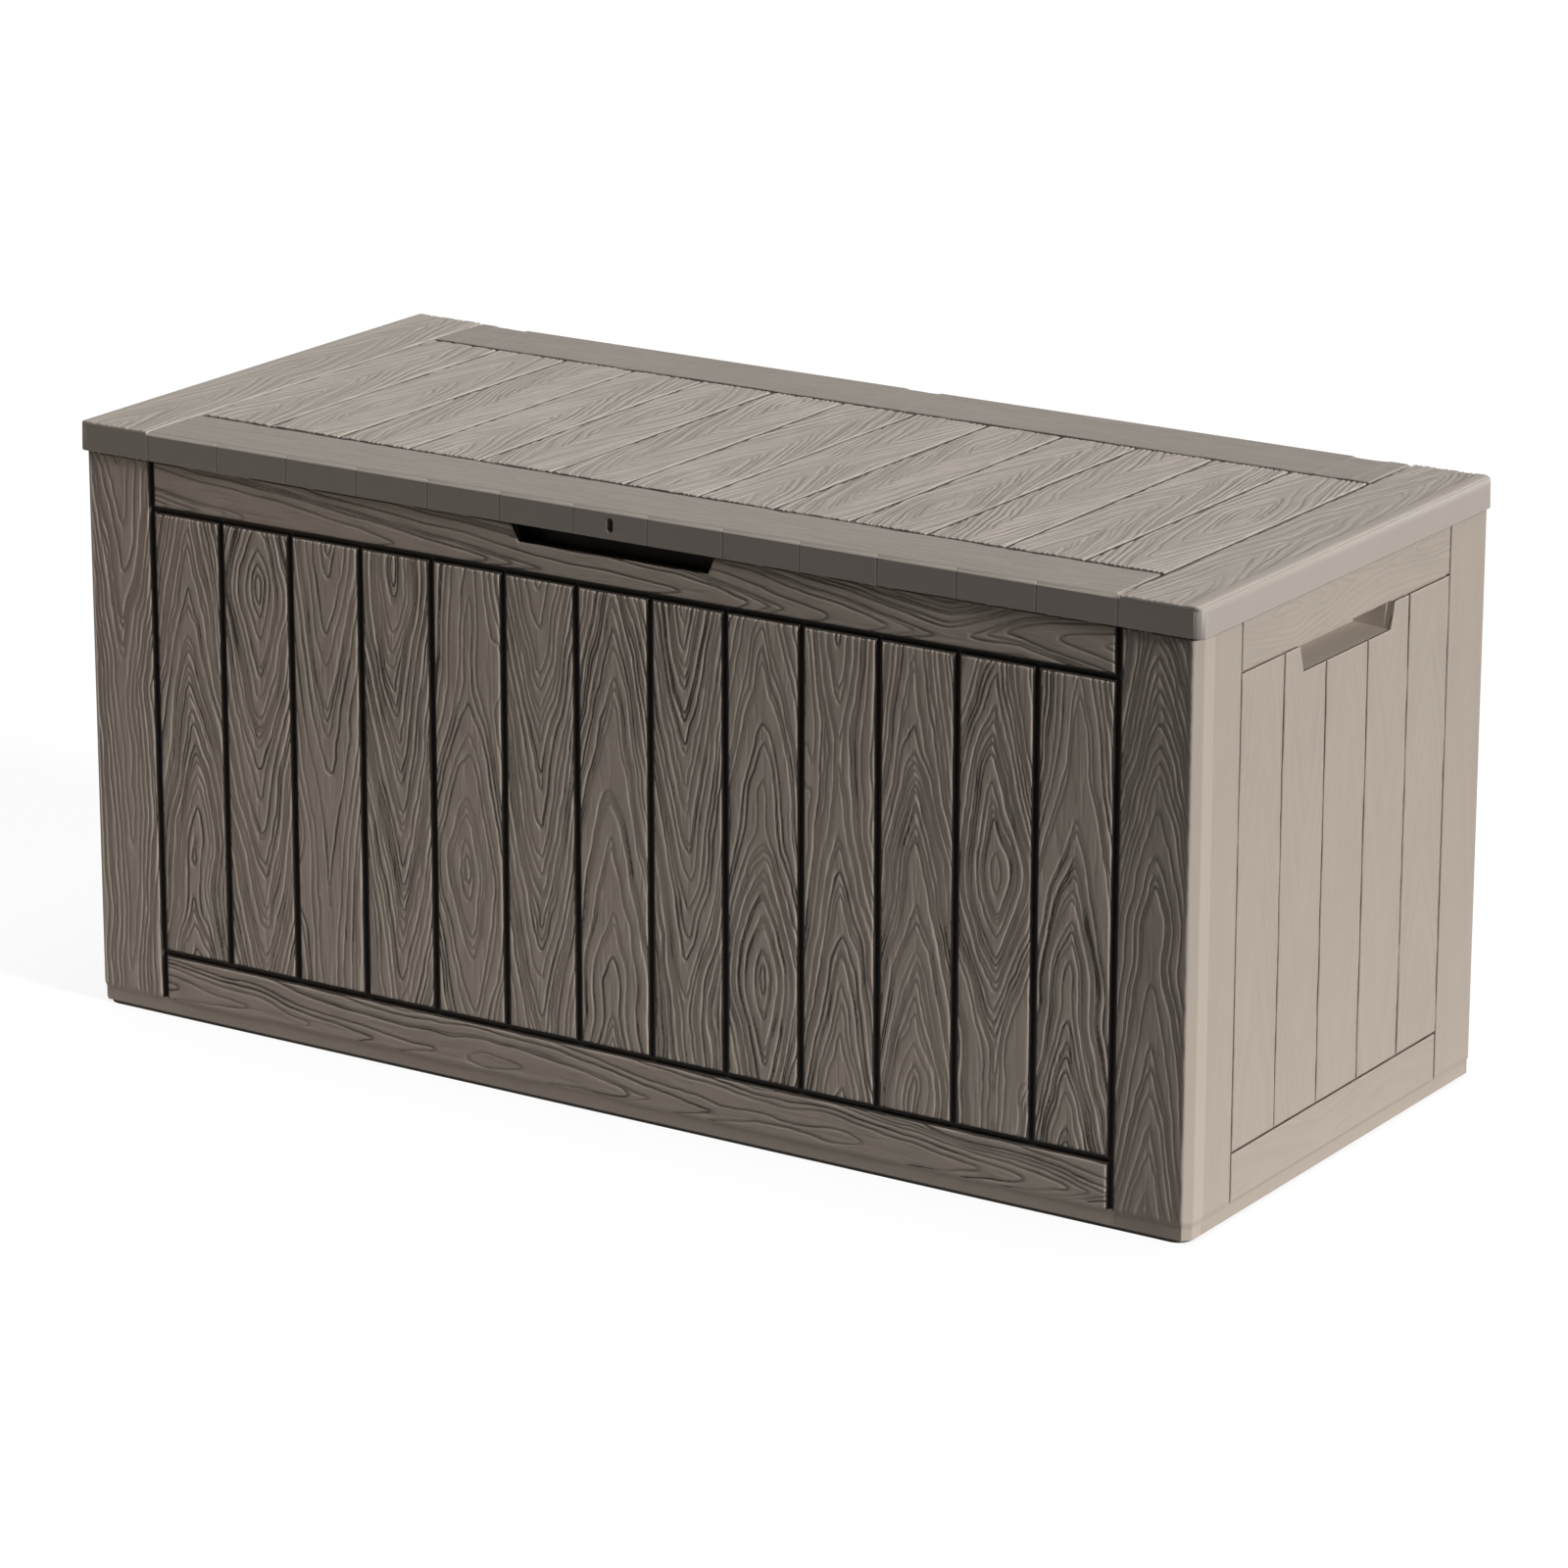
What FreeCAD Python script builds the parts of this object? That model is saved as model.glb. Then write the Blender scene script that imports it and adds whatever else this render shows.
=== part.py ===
"""Resin deck storage box: a flat-packed box of moulded wall panels on a ribbed tray, under a hinged lid.

Frame: origin on the ground under the middle of the box, +X to the right seen from the front,
+Y towards the back, +Z up. Millimetres. The lid is modelled shut.
"""
import FreeCAD, Part
import math
import os
import re
import Sketcher

SIZES = {
    # the box as a whole
    "box_length": 1172, "box_depth": 516, "wall_foot": 3, "rim_top": 548,
    # boards moulded into the long walls and the lid, planks moulded into the short walls
    "board_count": 13, "post_width": 77.05, "plank_count": 5, "end_post_width": 70.5,
    "groove_width": 6, "groove_floor": 3, "groove_depth": 4,
    "top_rail": 60, "foot_groove": 62, "plinth_rise": 14, "plinth_inset": 0.8,
    # wall panels
    "wall_depth": 7, "skin": 3, "groove_rib": 14, "rail_rib": 8, "rim_lip": 5, "rim_thick": 4,
    "corner_bevel": 7, "return_length": 23, "return_skin": 4, "joint_gap": 0.4, "fit_gap": 0.3,
    "lap_width": 26, "lap_skin": 3.6, "lap_corner": 2.5, "lap_play": 2,
    # finger recess and the lock bracket that stands in it
    "recess_drop": 31, "recess_half": 100, "recess_rise": 14, "recess_depth": 16,
    "lock_half": 17, "lock_skin": 3, "lock_wing": 15, "lock_drop": 13.5, "lock_rise": 8,
    "lock_stand_off": 0.6, "lock_screw_drop": 7,
    "padlock_drop": 1.5, "padlock_width": 6.6, "padlock_length": 13.4,
    # handle windows in the short walls and the cups behind them
    "handle_window": 25, "handle_half": 79, "handle_splay": 7, "handle_depth": 36,
    "handle_finger_rise": 12, "cup_skin": 3, "cup_draft": 6, "cup_flange": 16, "cup_bend": 5,
    "cup_screw_inset": 6.5, "handle_land_drop": 23,
    # tray
    "tray_inset": 5, "tray_front_inset": 1.5, "tray_corner": 14, "tray_floor": 24, "tray_skin": 3,
    "tray_wall_top": 46, "tray_cells_long": 10, "tray_cells_deep": 4, "tray_rib": 3,
    # lid
    "lid_overhang": 4, "skirt_cover": 14, "skirt_skin": 3.2, "skirt_draft": 0.8, "lid_corner": 9,
    "lid_edge": 4.5, "lid_end_round": 8, "lid_rib": 8.1, "lid_plate": 5.6, "lid_groove_depth": 3,
    "lid_groove_floor": 1.8, "lid_front_rail": 78, "lid_rear_rail": 82, "rib_skin": 2.4, "rest_gap": 0.3,
    "grid_inset": 28, "grid_cells_long": 8, "grid_cells_deep": 4,
    "grid_drop": 6, "rest_break": 125,
    # hinges
    "hinge_inset": 116, "hinge_drop": 16, "hinge_stand_off": 8.5, "barrel_radius": 6.5,
    "knuckle_length": 30, "ear_length": 15, "knuckle_gap": 0.5, "notch_length": 35, "notch_depth": 7,
    "ear_rise": 22, "web_drop": 24, "lid_opens": 100, "stop_drop": 6, "stop_gap": 0.4,
    "pin_radius": 3, "pin_bore": 3.08, "pin_head": 4.6, "pin_head_length": 2.5, "pin_tail": 4.5,
    "clip_radius": 4.6, "clip_bore": 3.02, "clip_length": 2.6, "clip_gap": 0.3,
    # screws
    "screw_radius": 2, "screw_bore": 2.1, "screw_head": 4.4, "screw_head_height": 2.6,
    "tray_screw_height": 37, "tray_screw_inset": 70,
    "corner_screw_low": 90, "corner_screw_count": 4, "corner_screw_pitch": 125,
    "corner_screw_inset": 8, "lap_screw_inset": 16, "tray_screws_long": 5, "tray_screws_deep": 2,
}

# Heights and spacings that follow from the sizes above; expressions use them by name.
DERIVED = {
    "board_pitch": "((box_length - 2 * post_width) / board_count)",
    "plank_pitch": "((box_depth - 2 * end_post_width) / plank_count)",
    "top_groove": "(rim_top - top_rail)",
    "recess_floor": "(rim_top - recess_drop)",
    "lock_foot": "(rim_top - lock_drop)",
    "lock_top": "(rim_top + lock_rise)",
    "lock_screw_height": "(rim_top - lock_screw_drop)",
    "padlock_height": "(rim_top - padlock_drop)",
    "handle_floor": "(rim_top - top_rail - handle_window)",
    "handle_land": "(rim_top - top_rail - handle_window - handle_land_drop)",
    "grid_length": "(box_length - 2 * grid_inset)",
    "grid_depth": "(box_depth - 2 * grid_inset)",
    "hinge_pitch": "(box_length / 2 - hinge_inset)",
    "hinge_height": "(rim_top - hinge_drop)",
}

# Places that several pieces share.
FRONT = "-box_depth / 2"
SIDE = "box_length / 2"
FIELD = "(box_length / 2 - post_width)"
PLANKS = "(box_depth / 2 - end_post_width)"
SIDE_INNER = "(box_length / 2 - wall_depth)"
FRONT_INNER = "(-box_depth / 2 + wall_depth)"
SKIRT_FOOT = "(rim_top - skirt_cover)"
LID_FLOOR = "(rim_top + rest_gap)"
LID_TOP = "(rim_top + rest_gap + lid_rib + lid_plate)"
LID_SIDE = "(box_length / 2 + lid_overhang)"
LID_FRONT = "(-box_depth / 2 - lid_overhang)"
HINGE_BACK = "(box_depth / 2 + hinge_stand_off)"

SCREW_SIDES = 6

doc = FreeCAD.newDocument("deck_box")
sheet = doc.addObject("Spreadsheet::Sheet", "sizes")
for row, (name, size) in enumerate(SIZES.items(), start=1):
    sheet.set(f"A{row}", name)
    sheet.set(f"B{row}", str(size))
    sheet.setAlias(f"B{row}", name)
doc.recompute()


# ---------------------------------------------------------------- sketches and features

def expand(text, before=""):
    """The expression with derived names written out and each size's name led by its sheet."""
    def word(match):
        name = match[0]
        return expand(DERIVED[name], before) if name in DERIVED else before * (name in SIZES) + name

    return re.sub(r"[a-z]+(_[a-z]+)*", word, text)


def measure(text):
    """The expression's value in millimetres."""
    return float(sheet.evalExpression(expand(text)))


def bind(thing, prop, text):
    thing.setExpression(prop, expand(text, "sizes."))


def new_body(label):
    body = doc.addObject("PartDesign::Body", label)
    body.Label = label
    return body


def new_sketch(body, role, height="0"):
    """A sketch on one of the body's own origin planes, lifted along the plane's normal."""
    sketch = body.newObject("Sketcher::SketchObject", "sketch")
    plane = next(feature for feature in body.Origin.OriginFeatures if feature.Role == role)
    sketch.AttachmentSupport = [(plane, "")]
    sketch.MapMode = "FlatFace"
    bind(sketch, "AttachmentOffset.Base.z", height)
    return sketch


def pin_point(sketch, edge, end, place):
    """Fixes one point of an edge at a place given by two expressions."""
    for kind, text in zip(("DistanceX", "DistanceY"), place):
        number = sketch.addConstraint(Sketcher.Constraint(kind, -1, 1, edge, end, measure(text)))
        bind(sketch, f"Constraints[{number}]", text)


def polygon(sketch, places):
    """A closed outline through places, each a pair of expressions."""
    corners = [FreeCAD.Vector(measure(u), measure(v), 0) for u, v in places]
    first = len(sketch.Geometry)
    total = len(places)
    for index, corner in enumerate(corners):
        sketch.addGeometry(Part.LineSegment(corner, corners[(index + 1) % total]))
    for index in range(total):
        sketch.addConstraint(
            Sketcher.Constraint("Coincident", first + index, 2, first + (index + 1) % total, 1))
    for index, place in enumerate(places):
        pin_point(sketch, first + index, 1, place)


def rectangle(sketch, left, right, low, high):
    polygon(sketch, [(left, low), (right, low), (right, high), (left, high)])


def circle(sketch, place, radius):
    centre = FreeCAD.Vector(measure(place[0]), measure(place[1]), 0)
    edge = sketch.addGeometry(Part.Circle(centre, FreeCAD.Vector(0, 0, 1), measure(radius)))
    pin_point(sketch, edge, 3, place)
    number = sketch.addConstraint(Sketcher.Constraint("Radius", edge, measure(radius)))
    bind(sketch, f"Constraints[{number}]", radius)


def few_sided(sketch, place, radius):
    """A small round drawn with few sides, for screws and their holes, which repeat many times."""
    turns = [(step + 0.5) * 360 / SCREW_SIDES for step in range(SCREW_SIDES)]
    polygon(sketch, [(f"{place[0]} + {radius} * cos({turn} deg)", f"{place[1]} + {radius} * sin({turn} deg)")
                     for turn in turns])


def upright_slot(sketch, place, width, length):
    """A slot with round ends, standing upright about a place."""
    middle = FreeCAD.Vector(measure(place[0]), measure(place[1]), 0)
    radius = measure(width) / 2
    reach = measure(length) / 2 - radius
    upper = middle + FreeCAD.Vector(0, reach, 0)
    lower = middle - FreeCAD.Vector(0, reach, 0)
    out = FreeCAD.Vector(radius, 0, 0)
    normal = FreeCAD.Vector(0, 0, 1)
    top = sketch.addGeometry(Part.ArcOfCircle(Part.Circle(upper, normal, radius), 0, math.pi))
    left = sketch.addGeometry(Part.LineSegment(upper - out, lower - out))
    foot = sketch.addGeometry(Part.ArcOfCircle(Part.Circle(lower, normal, radius), math.pi, 2 * math.pi))
    right = sketch.addGeometry(Part.LineSegment(lower + out, upper + out))
    for one, other in ((top, left), (left, foot), (foot, right), (right, top)):
        sketch.addConstraint(Sketcher.Constraint("Tangent", one, 2, other, 1))
    number = sketch.addConstraint(Sketcher.Constraint("Radius", top, radius))
    bind(sketch, f"Constraints[{number}]", f"{width} / 2")
    sketch.addConstraint(Sketcher.Constraint("Equal", top, foot))
    pin_point(sketch, top, 3, (place[0], f"{place[1]} + ({length} - {width}) / 2"))
    pin_point(sketch, foot, 3, (place[0], f"{place[1]} - ({length} - {width}) / 2"))


def quarter_waste(sketch, sign, side, top, radius):
    """What a round over an upper corner cuts away; sign is +1 for a corner at +side, -1 at -side."""
    reach, height, bend = measure(side), measure(top), measure(radius)
    middle = FreeCAD.Vector(sign * (reach - bend), height - bend, 0)
    start, sweep = (0, math.pi / 2) if sign > 0 else (math.pi / 2, math.pi)
    arc = sketch.addGeometry(Part.ArcOfCircle(
        Part.Circle(middle, FreeCAD.Vector(0, 0, 1), bend), start, sweep))
    ends = [(f"{sign} * {side}", f"{top} - {radius}"), (f"{sign} * ({side} - {radius})", top)]
    corners = [(f"{sign} * ({side} + {radius})", f"{top} - {radius}"),
               (f"{sign} * ({side} + {radius})", f"{top} + {radius}"),
               (f"{sign} * ({side} - {radius})", f"{top} + {radius}")]
    route = [ends[0], *corners, ends[1]]
    points = [FreeCAD.Vector(measure(u), measure(v), 0) for u, v in route]
    lines = [sketch.addGeometry(Part.LineSegment(one, other)) for one, other in zip(points, points[1:])]
    for one, other in zip(lines, lines[1:]):
        sketch.addConstraint(Sketcher.Constraint("Coincident", one, 2, other, 1))
    low, high = (1, 2) if sign > 0 else (2, 1)
    sketch.addConstraint(Sketcher.Constraint("Coincident", arc, low, lines[0], 1))
    sketch.addConstraint(Sketcher.Constraint("Coincident", arc, high, lines[-1], 2))
    for line, place in zip(lines, route):
        pin_point(sketch, line, 1, place)
    pin_point(sketch, lines[-1], 2, route[-1])
    number = sketch.addConstraint(Sketcher.Constraint("Radius", arc, bend))
    bind(sketch, f"Constraints[{number}]", radius)


def extrude(kind, body, sketch, length, middle=False, back=False, taper=None):
    """A pad along the sketch's normal, or a pocket against it; back turns either round."""
    feature = body.newObject("PartDesign::" + kind, kind.lower())
    feature.Profile = sketch
    bind(feature, "Length", length)
    feature.Midplane = middle
    feature.Reversed = back
    if taper:
        bind(feature, "TaperAngle", taper)
    return feature


def repeat(body, sketch, features, pitch, count, axis="H_Axis"):
    """Copies of the features along an axis of a sketch, evenly spaced."""
    pattern = body.newObject("PartDesign::LinearPattern", "row")
    pattern.Originals = features
    pattern.Direction = (sketch, [axis])
    pattern.Mode = "Spacing"
    bind(pattern, "Offset", pitch)
    bind(pattern, "Occurrences", count)
    body.Tip = pattern
    return pattern


def round_edges(body, size, chosen, kind="Fillet", prop="Radius"):
    """Rounds, or bevels, the edges of the body so far for which chosen(edge) holds."""
    doc.recompute()
    base = body.Tip
    names = [f"Edge{number}" for number, edge in enumerate(base.Shape.Edges, 1) if chosen(edge)]
    dressing = body.newObject("PartDesign::" + kind, kind.lower())
    dressing.Base = (base, names)
    bind(dressing, prop, size)
    return dressing


def lean_walls(body, angle):
    """Leans the upright faces of the body so far inwards, about its lowest face."""
    doc.recompute()
    base = body.Tip
    low = base.Shape.BoundBox.ZMin
    walls, foot = [], None
    for number, face in enumerate(base.Shape.Faces, 1):
        if face.BoundBox.ZLength > 1:
            walls.append(f"Face{number}")
        elif face.BoundBox.ZMax < low + 0.01:
            foot = f"Face{number}"
    draft = body.newObject("PartDesign::Draft", "draft")
    draft.Base = (base, walls)
    draft.NeutralPlane = (base, [foot])
    bind(draft, "Angle", angle)
    return draft


def upright_at(*places):
    """A test for upright edges that stand at one of the places, given as expressions of x and y."""
    spots = [(measure(u), measure(v)) for u, v in places]

    def test(edge):
        low, high = edge.BoundBox.Center, edge.BoundBox
        upright = high.ZLength > 5 * max(high.XLength, high.YLength, 0.1)
        return upright and any(math.hypot(low.x - x, low.y - y) < 0.6 for x, y in spots)

    return test


# ---------------------------------------------------------------- relief of the wall panels

def groove_section(across, face, depth="groove_depth", floor="groove_floor"):
    """A groove's section: wide at the face, narrow at its floor. Points are (across, inward)."""
    return [(f"{across} - groove_width / 2", face), (f"{across} + groove_width / 2", face),
            (f"{across} + {floor} / 2", f"{face} + {depth}"),
            (f"{across} - {floor} / 2", f"{face} + {depth}")]


def board_front(body, half_field, pitch, count, face, hollow_top):
    """Cuts a face towards -Y into boards between two posts: grooves in front, hollows behind."""
    upright = new_sketch(body, "XY_Plane", "foot_groove")
    polygon(upright, groove_section(f"-{half_field} + {pitch}", face))
    groove = extrude("Pocket", body, upright, "top_groove - foot_groove", back=True)
    repeat(body, upright, [groove], pitch, f"{count} - 1")

    posts = new_sketch(body, "XY_Plane", "wall_foot + plinth_rise")
    polygon(posts, groove_section(f"-{half_field}", face))
    polygon(posts, groove_section(half_field, face))
    extrude("Pocket", body, posts, "rim_top - wall_foot - plinth_rise", back=True)

    level = new_sketch(body, "YZ_Plane")
    for height in ("top_groove", "foot_groove"):
        polygon(level, [(v, u) for u, v in groove_section(height, face)])
    extrude("Pocket", body, level, f"2 * {half_field} + groove_width", middle=True)

    behind = new_sketch(body, "XZ_Plane", f"-({face}) - wall_depth")
    rectangle(behind, f"-{half_field} + groove_rib / 2", f"-{half_field} + {pitch} - groove_rib / 2",
              "foot_groove + groove_rib / 2", f"{hollow_top}")
    hollow = extrude("Pocket", body, behind, "wall_depth - skin", back=True)
    repeat(body, behind, [hollow], pitch, count)


def trim_plinth(body, left, right, low, high):
    """Sets back the plain band along a panel's foot: the ring between its outline and a smaller one."""
    band = new_sketch(body, "XY_Plane", "wall_foot")
    rectangle(band, f"{left} - 1", f"{right} + 1", f"{low} - 1", f"{high} + 1")
    rectangle(band, f"{left} + plinth_inset", f"{right} - plinth_inset", f"{low} + plinth_inset",
              f"{high} + 1")
    extrude("Pocket", body, band, "plinth_rise", back=True)


def long_wall(label, plan):
    """A long wall facing -Y: the plan drawn up to the rim, with boards, top rail and rim lip."""
    body = new_body(label)
    outline = new_sketch(body, "XY_Plane", "wall_foot")
    polygon(outline, plan)
    extrude("Pad", body, outline, "rim_top - wall_foot")

    lip = new_sketch(body, "XY_Plane", "rim_top - rim_thick")
    rectangle(lip, f"-{SIDE} + lap_width", f"{SIDE} - lap_width", f"{FRONT_INNER} - 1",
              f"{FRONT_INNER} + rim_lip")
    extrude("Pad", body, lip, "rim_thick")

    board_front(body, FIELD, "board_pitch", "board_count", FRONT, "top_groove - groove_rib / 2")
    rail = new_sketch(body, "XZ_Plane", f"-{FRONT_INNER}")
    rectangle(rail, f"-{FIELD} + groove_rib / 2", f"{FIELD} - groove_rib / 2",
              "top_groove + groove_rib / 2", "rim_top - rim_thick - rail_rib")
    extrude("Pocket", body, rail, "wall_depth - skin", back=True)
    return body


def screw_holes(body, role, height, places, depth, back=False, middle=False, row=None):
    """Screw holes at places on one of the body's origin planes; row repeats them along an axis."""
    sketch = new_sketch(body, role, height)
    for place in places:
        few_sided(sketch, place, "screw_bore")
    hole = extrude("Pocket", body, sketch, depth, back=back, middle=middle)
    if row:
        repeat(body, sketch, [hole], *row)


def pin_hole(body, place):
    """A round hole for the hinge pins, all the way along the body."""
    sketch = new_sketch(body, "YZ_Plane")
    circle(sketch, place, "pin_bore")
    extrude("Pocket", body, sketch, "box_length", middle=True)


# Rows of screws up each corner and along the tray: (pitch, count, axis of the sketch).
LONG_REACH = "(box_length / 2 - tray_screw_inset)"
DEEP_REACH = "(box_depth / 2 - tray_screw_inset)"
CORNER_ROW = ("corner_screw_pitch", "corner_screw_count", "V_Axis")
LONG_ROW = (f"2 * {LONG_REACH} / (tray_screws_long - 1)", "tray_screws_long")
DEEP_ROW = (f"2 * {DEEP_REACH} / (tray_screws_deep - 1)", "tray_screws_deep")
LOCK_PLACES = [(f"{sign} * (lock_half + lock_wing / 2)", "lock_screw_height") for sign in (-1, 1)]
CUP_PLACES = [(f"{sign} * (handle_half + handle_splay + cup_flange - cup_screw_inset)", height)
              for sign in (-1, 1) for height in ("handle_floor", "(top_groove + handle_finger_rise)")]


# ---------------------------------------------------------------- tray

def base_tray():
    """Floor tray: a ledge under the walls, a shallow wall inside them, a floor on a lattice of ribs."""
    body = new_body("base_tray")
    ledge = new_sketch(body, "XY_Plane")
    rectangle(ledge, f"-{SIDE} + tray_inset", f"{SIDE} - tray_inset", f"{FRONT} + tray_front_inset",
              f"-({FRONT}) - tray_front_inset")
    extrude("Pad", body, ledge, "wall_foot")
    round_edges(body, "tray_corner", upright_at(
        *[(f"{x} * ({SIDE} - tray_inset)", f"{y} * (box_depth / 2 - tray_front_inset)")
          for x in (-1, 1) for y in (-1, 1)]))

    half_long = f"({SIDE_INNER} - fit_gap)"
    half_deep = "(box_depth / 2 - wall_depth - fit_gap)"
    block = new_sketch(body, "XY_Plane")
    rectangle(block, f"-{half_long}", half_long, f"-{half_deep}", half_deep)
    extrude("Pad", body, block, "tray_wall_top")

    inside = new_sketch(body, "XY_Plane", "tray_wall_top")
    rectangle(inside, f"-{half_long} + tray_skin", f"{half_long} - tray_skin",
              f"-{half_deep} + tray_skin", f"{half_deep} - tray_skin")
    extrude("Pocket", body, inside, "tray_wall_top - tray_floor")

    cell = new_sketch(body, "XY_Plane")
    pitch_long = f"((2 * {half_long} - 2 * tray_skin + tray_rib) / tray_cells_long)"
    pitch_deep = f"((2 * {half_deep} - 2 * tray_skin + tray_rib) / tray_cells_deep)"
    rectangle(cell, f"-{half_long} + tray_skin", f"-{half_long} + tray_skin + {pitch_long} - tray_rib",
              f"-{half_deep} + tray_skin", f"-{half_deep} + tray_skin + {pitch_deep} - tray_rib")
    hollow = extrude("Pocket", body, cell, "tray_floor - tray_skin", back=True)
    lattice = body.newObject("PartDesign::MultiTransform", "lattice")
    along, across = (body.newObject("PartDesign::LinearPattern", name) for name in ("along", "across"))
    for row, axis, pitch, count in ((along, "H_Axis", pitch_long, "tray_cells_long"),
                                    (across, "V_Axis", pitch_deep, "tray_cells_deep")):
        row.Direction = (cell, [axis])
        row.Mode = "Spacing"
        bind(row, "Offset", pitch)
        bind(row, "Occurrences", count)
    lattice.Originals = [hollow]
    lattice.Transformations = [along, across]
    body.Tip = lattice

    screw_holes(body, "XZ_Plane", "0", [(f"-{LONG_REACH}", "tray_screw_height")], "box_depth",
                middle=True, row=LONG_ROW)
    screw_holes(body, "YZ_Plane", "0", [(f"-{DEEP_REACH}", "tray_screw_height")], "box_length",
                middle=True, row=DEEP_ROW)
    return body


# ---------------------------------------------------------------- long walls

def front_panel():
    """Front wall with corner returns, a finger recess under the lid and a seat for the lock bracket."""
    inner = f"{SIDE} - return_skin"
    body = long_wall("front_panel", [
        (f"-{SIDE}", FRONT), (SIDE, FRONT), (SIDE, f"{FRONT} + return_length"),
        (inner, f"{FRONT} + return_length"), (inner, FRONT_INNER), (f"-({inner})", FRONT_INNER),
        (f"-({inner})", f"{FRONT} + return_length"), (f"-{SIDE}", f"{FRONT} + return_length")])

    for kind, start, deep, grow in (
            ("Pad", FRONT_INNER, "recess_depth + skin - wall_depth", "skin"),
            ("Pocket", FRONT, "recess_depth", "0")):
        trough = new_sketch(body, "XZ_Plane", f"-({start})")
        polygon(trough, [(f"-recess_half - recess_rise - {grow}", "rim_top"),
                         (f"-recess_half - {grow}", f"recess_floor - {grow}"),
                         (f"recess_half + {grow}", f"recess_floor - {grow}"),
                         (f"recess_half + recess_rise + {grow}", "rim_top")])
        extrude(kind, body, trough, deep, back=kind == "Pad")

    screw_holes(body, "XZ_Plane", f"-({FRONT}) - recess_depth", LOCK_PLACES, "skin")
    screw_holes(body, "XZ_Plane", f"-{FRONT_INNER}", [(f"-{LONG_REACH}", "tray_screw_height")],
                "wall_depth - skin", back=True, row=LONG_ROW)
    for sign in (-1, 1):
        screw_holes(body, "YZ_Plane", f"{sign} * ({SIDE} - return_skin)",
                    [(f"{FRONT} + return_length - corner_screw_inset", "corner_screw_low")],
                    "return_skin - 1", back=sign > 0, row=CORNER_ROW)
    trim_plinth(body, f"-{SIDE}", SIDE, FRONT, f"{FRONT} + return_length")
    round_edges(body, "corner_bevel", upright_at(*[
        (f"{sign} * ({SIDE} - {inset})", f"{FRONT} + {inset}") for sign in (-1, 1)
        for inset in ("0", "plinth_inset")]), "Chamfer", "Size")
    return body


def rear_panel():
    """Rear wall with thinner laps at its ends and the middle knuckles of three hinges."""
    lap = f"{FRONT} + lap_skin"
    thin = f"{SIDE} - lap_width"
    body = long_wall("rear_panel", [
        (f"-{SIDE}", FRONT), (SIDE, FRONT), (SIDE, lap), (thin, lap), (thin, FRONT_INNER),
        (f"-({thin})", FRONT_INNER), (f"-({thin})", lap), (f"-{SIDE}", lap)])
    screw_holes(body, "XZ_Plane", f"-{FRONT_INNER}", [(f"-{LONG_REACH}", "tray_screw_height")],
                "wall_depth - skin", back=True, row=LONG_ROW)
    screw_holes(body, "XZ_Plane", f"-({lap})",
                [(f"{sign} * ({SIDE} - lap_screw_inset)", "corner_screw_low") for sign in (-1, 1)],
                "lap_skin - 1", back=True, row=CORNER_ROW)
    trim_plinth(body, f"-{SIDE}", SIDE, FRONT, lap)
    round_edges(body, "lap_corner", upright_at(*[
        (f"{sign} * ({SIDE} - {inset})", f"{FRONT} + {inset}") for sign in (-1, 1)
        for inset in ("0", "plinth_inset")]))

    axis = f"({FRONT} - hinge_stand_off)"
    start = new_sketch(body, "YZ_Plane", "-hinge_pitch")
    polygon(start, [(f"{FRONT} + 1", "hinge_height + barrel_radius"), (axis, "hinge_height + barrel_radius"),
                    (f"{axis} - barrel_radius * 0.9", "hinge_height - barrel_radius * 0.4"),
                    (f"{FRONT} + 1", "hinge_height - web_drop")])
    web = extrude("Pad", body, start, "knuckle_length", middle=True)
    round_end = new_sketch(body, "YZ_Plane", "-hinge_pitch")
    circle(round_end, (axis, "hinge_height"), "barrel_radius")
    barrel = extrude("Pad", body, round_end, "knuckle_length", middle=True)
    across = new_sketch(body, "XY_Plane")
    circle(across, ("0", "0"), "1")
    repeat(body, across, [web, barrel], "hinge_pitch", "3")
    pin_hole(body, (axis, "hinge_height"))
    body.Placement = FreeCAD.Placement(FreeCAD.Vector(), FreeCAD.Rotation(FreeCAD.Vector(0, 0, 1), 180))
    return body


# ---------------------------------------------------------------- short walls

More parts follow.
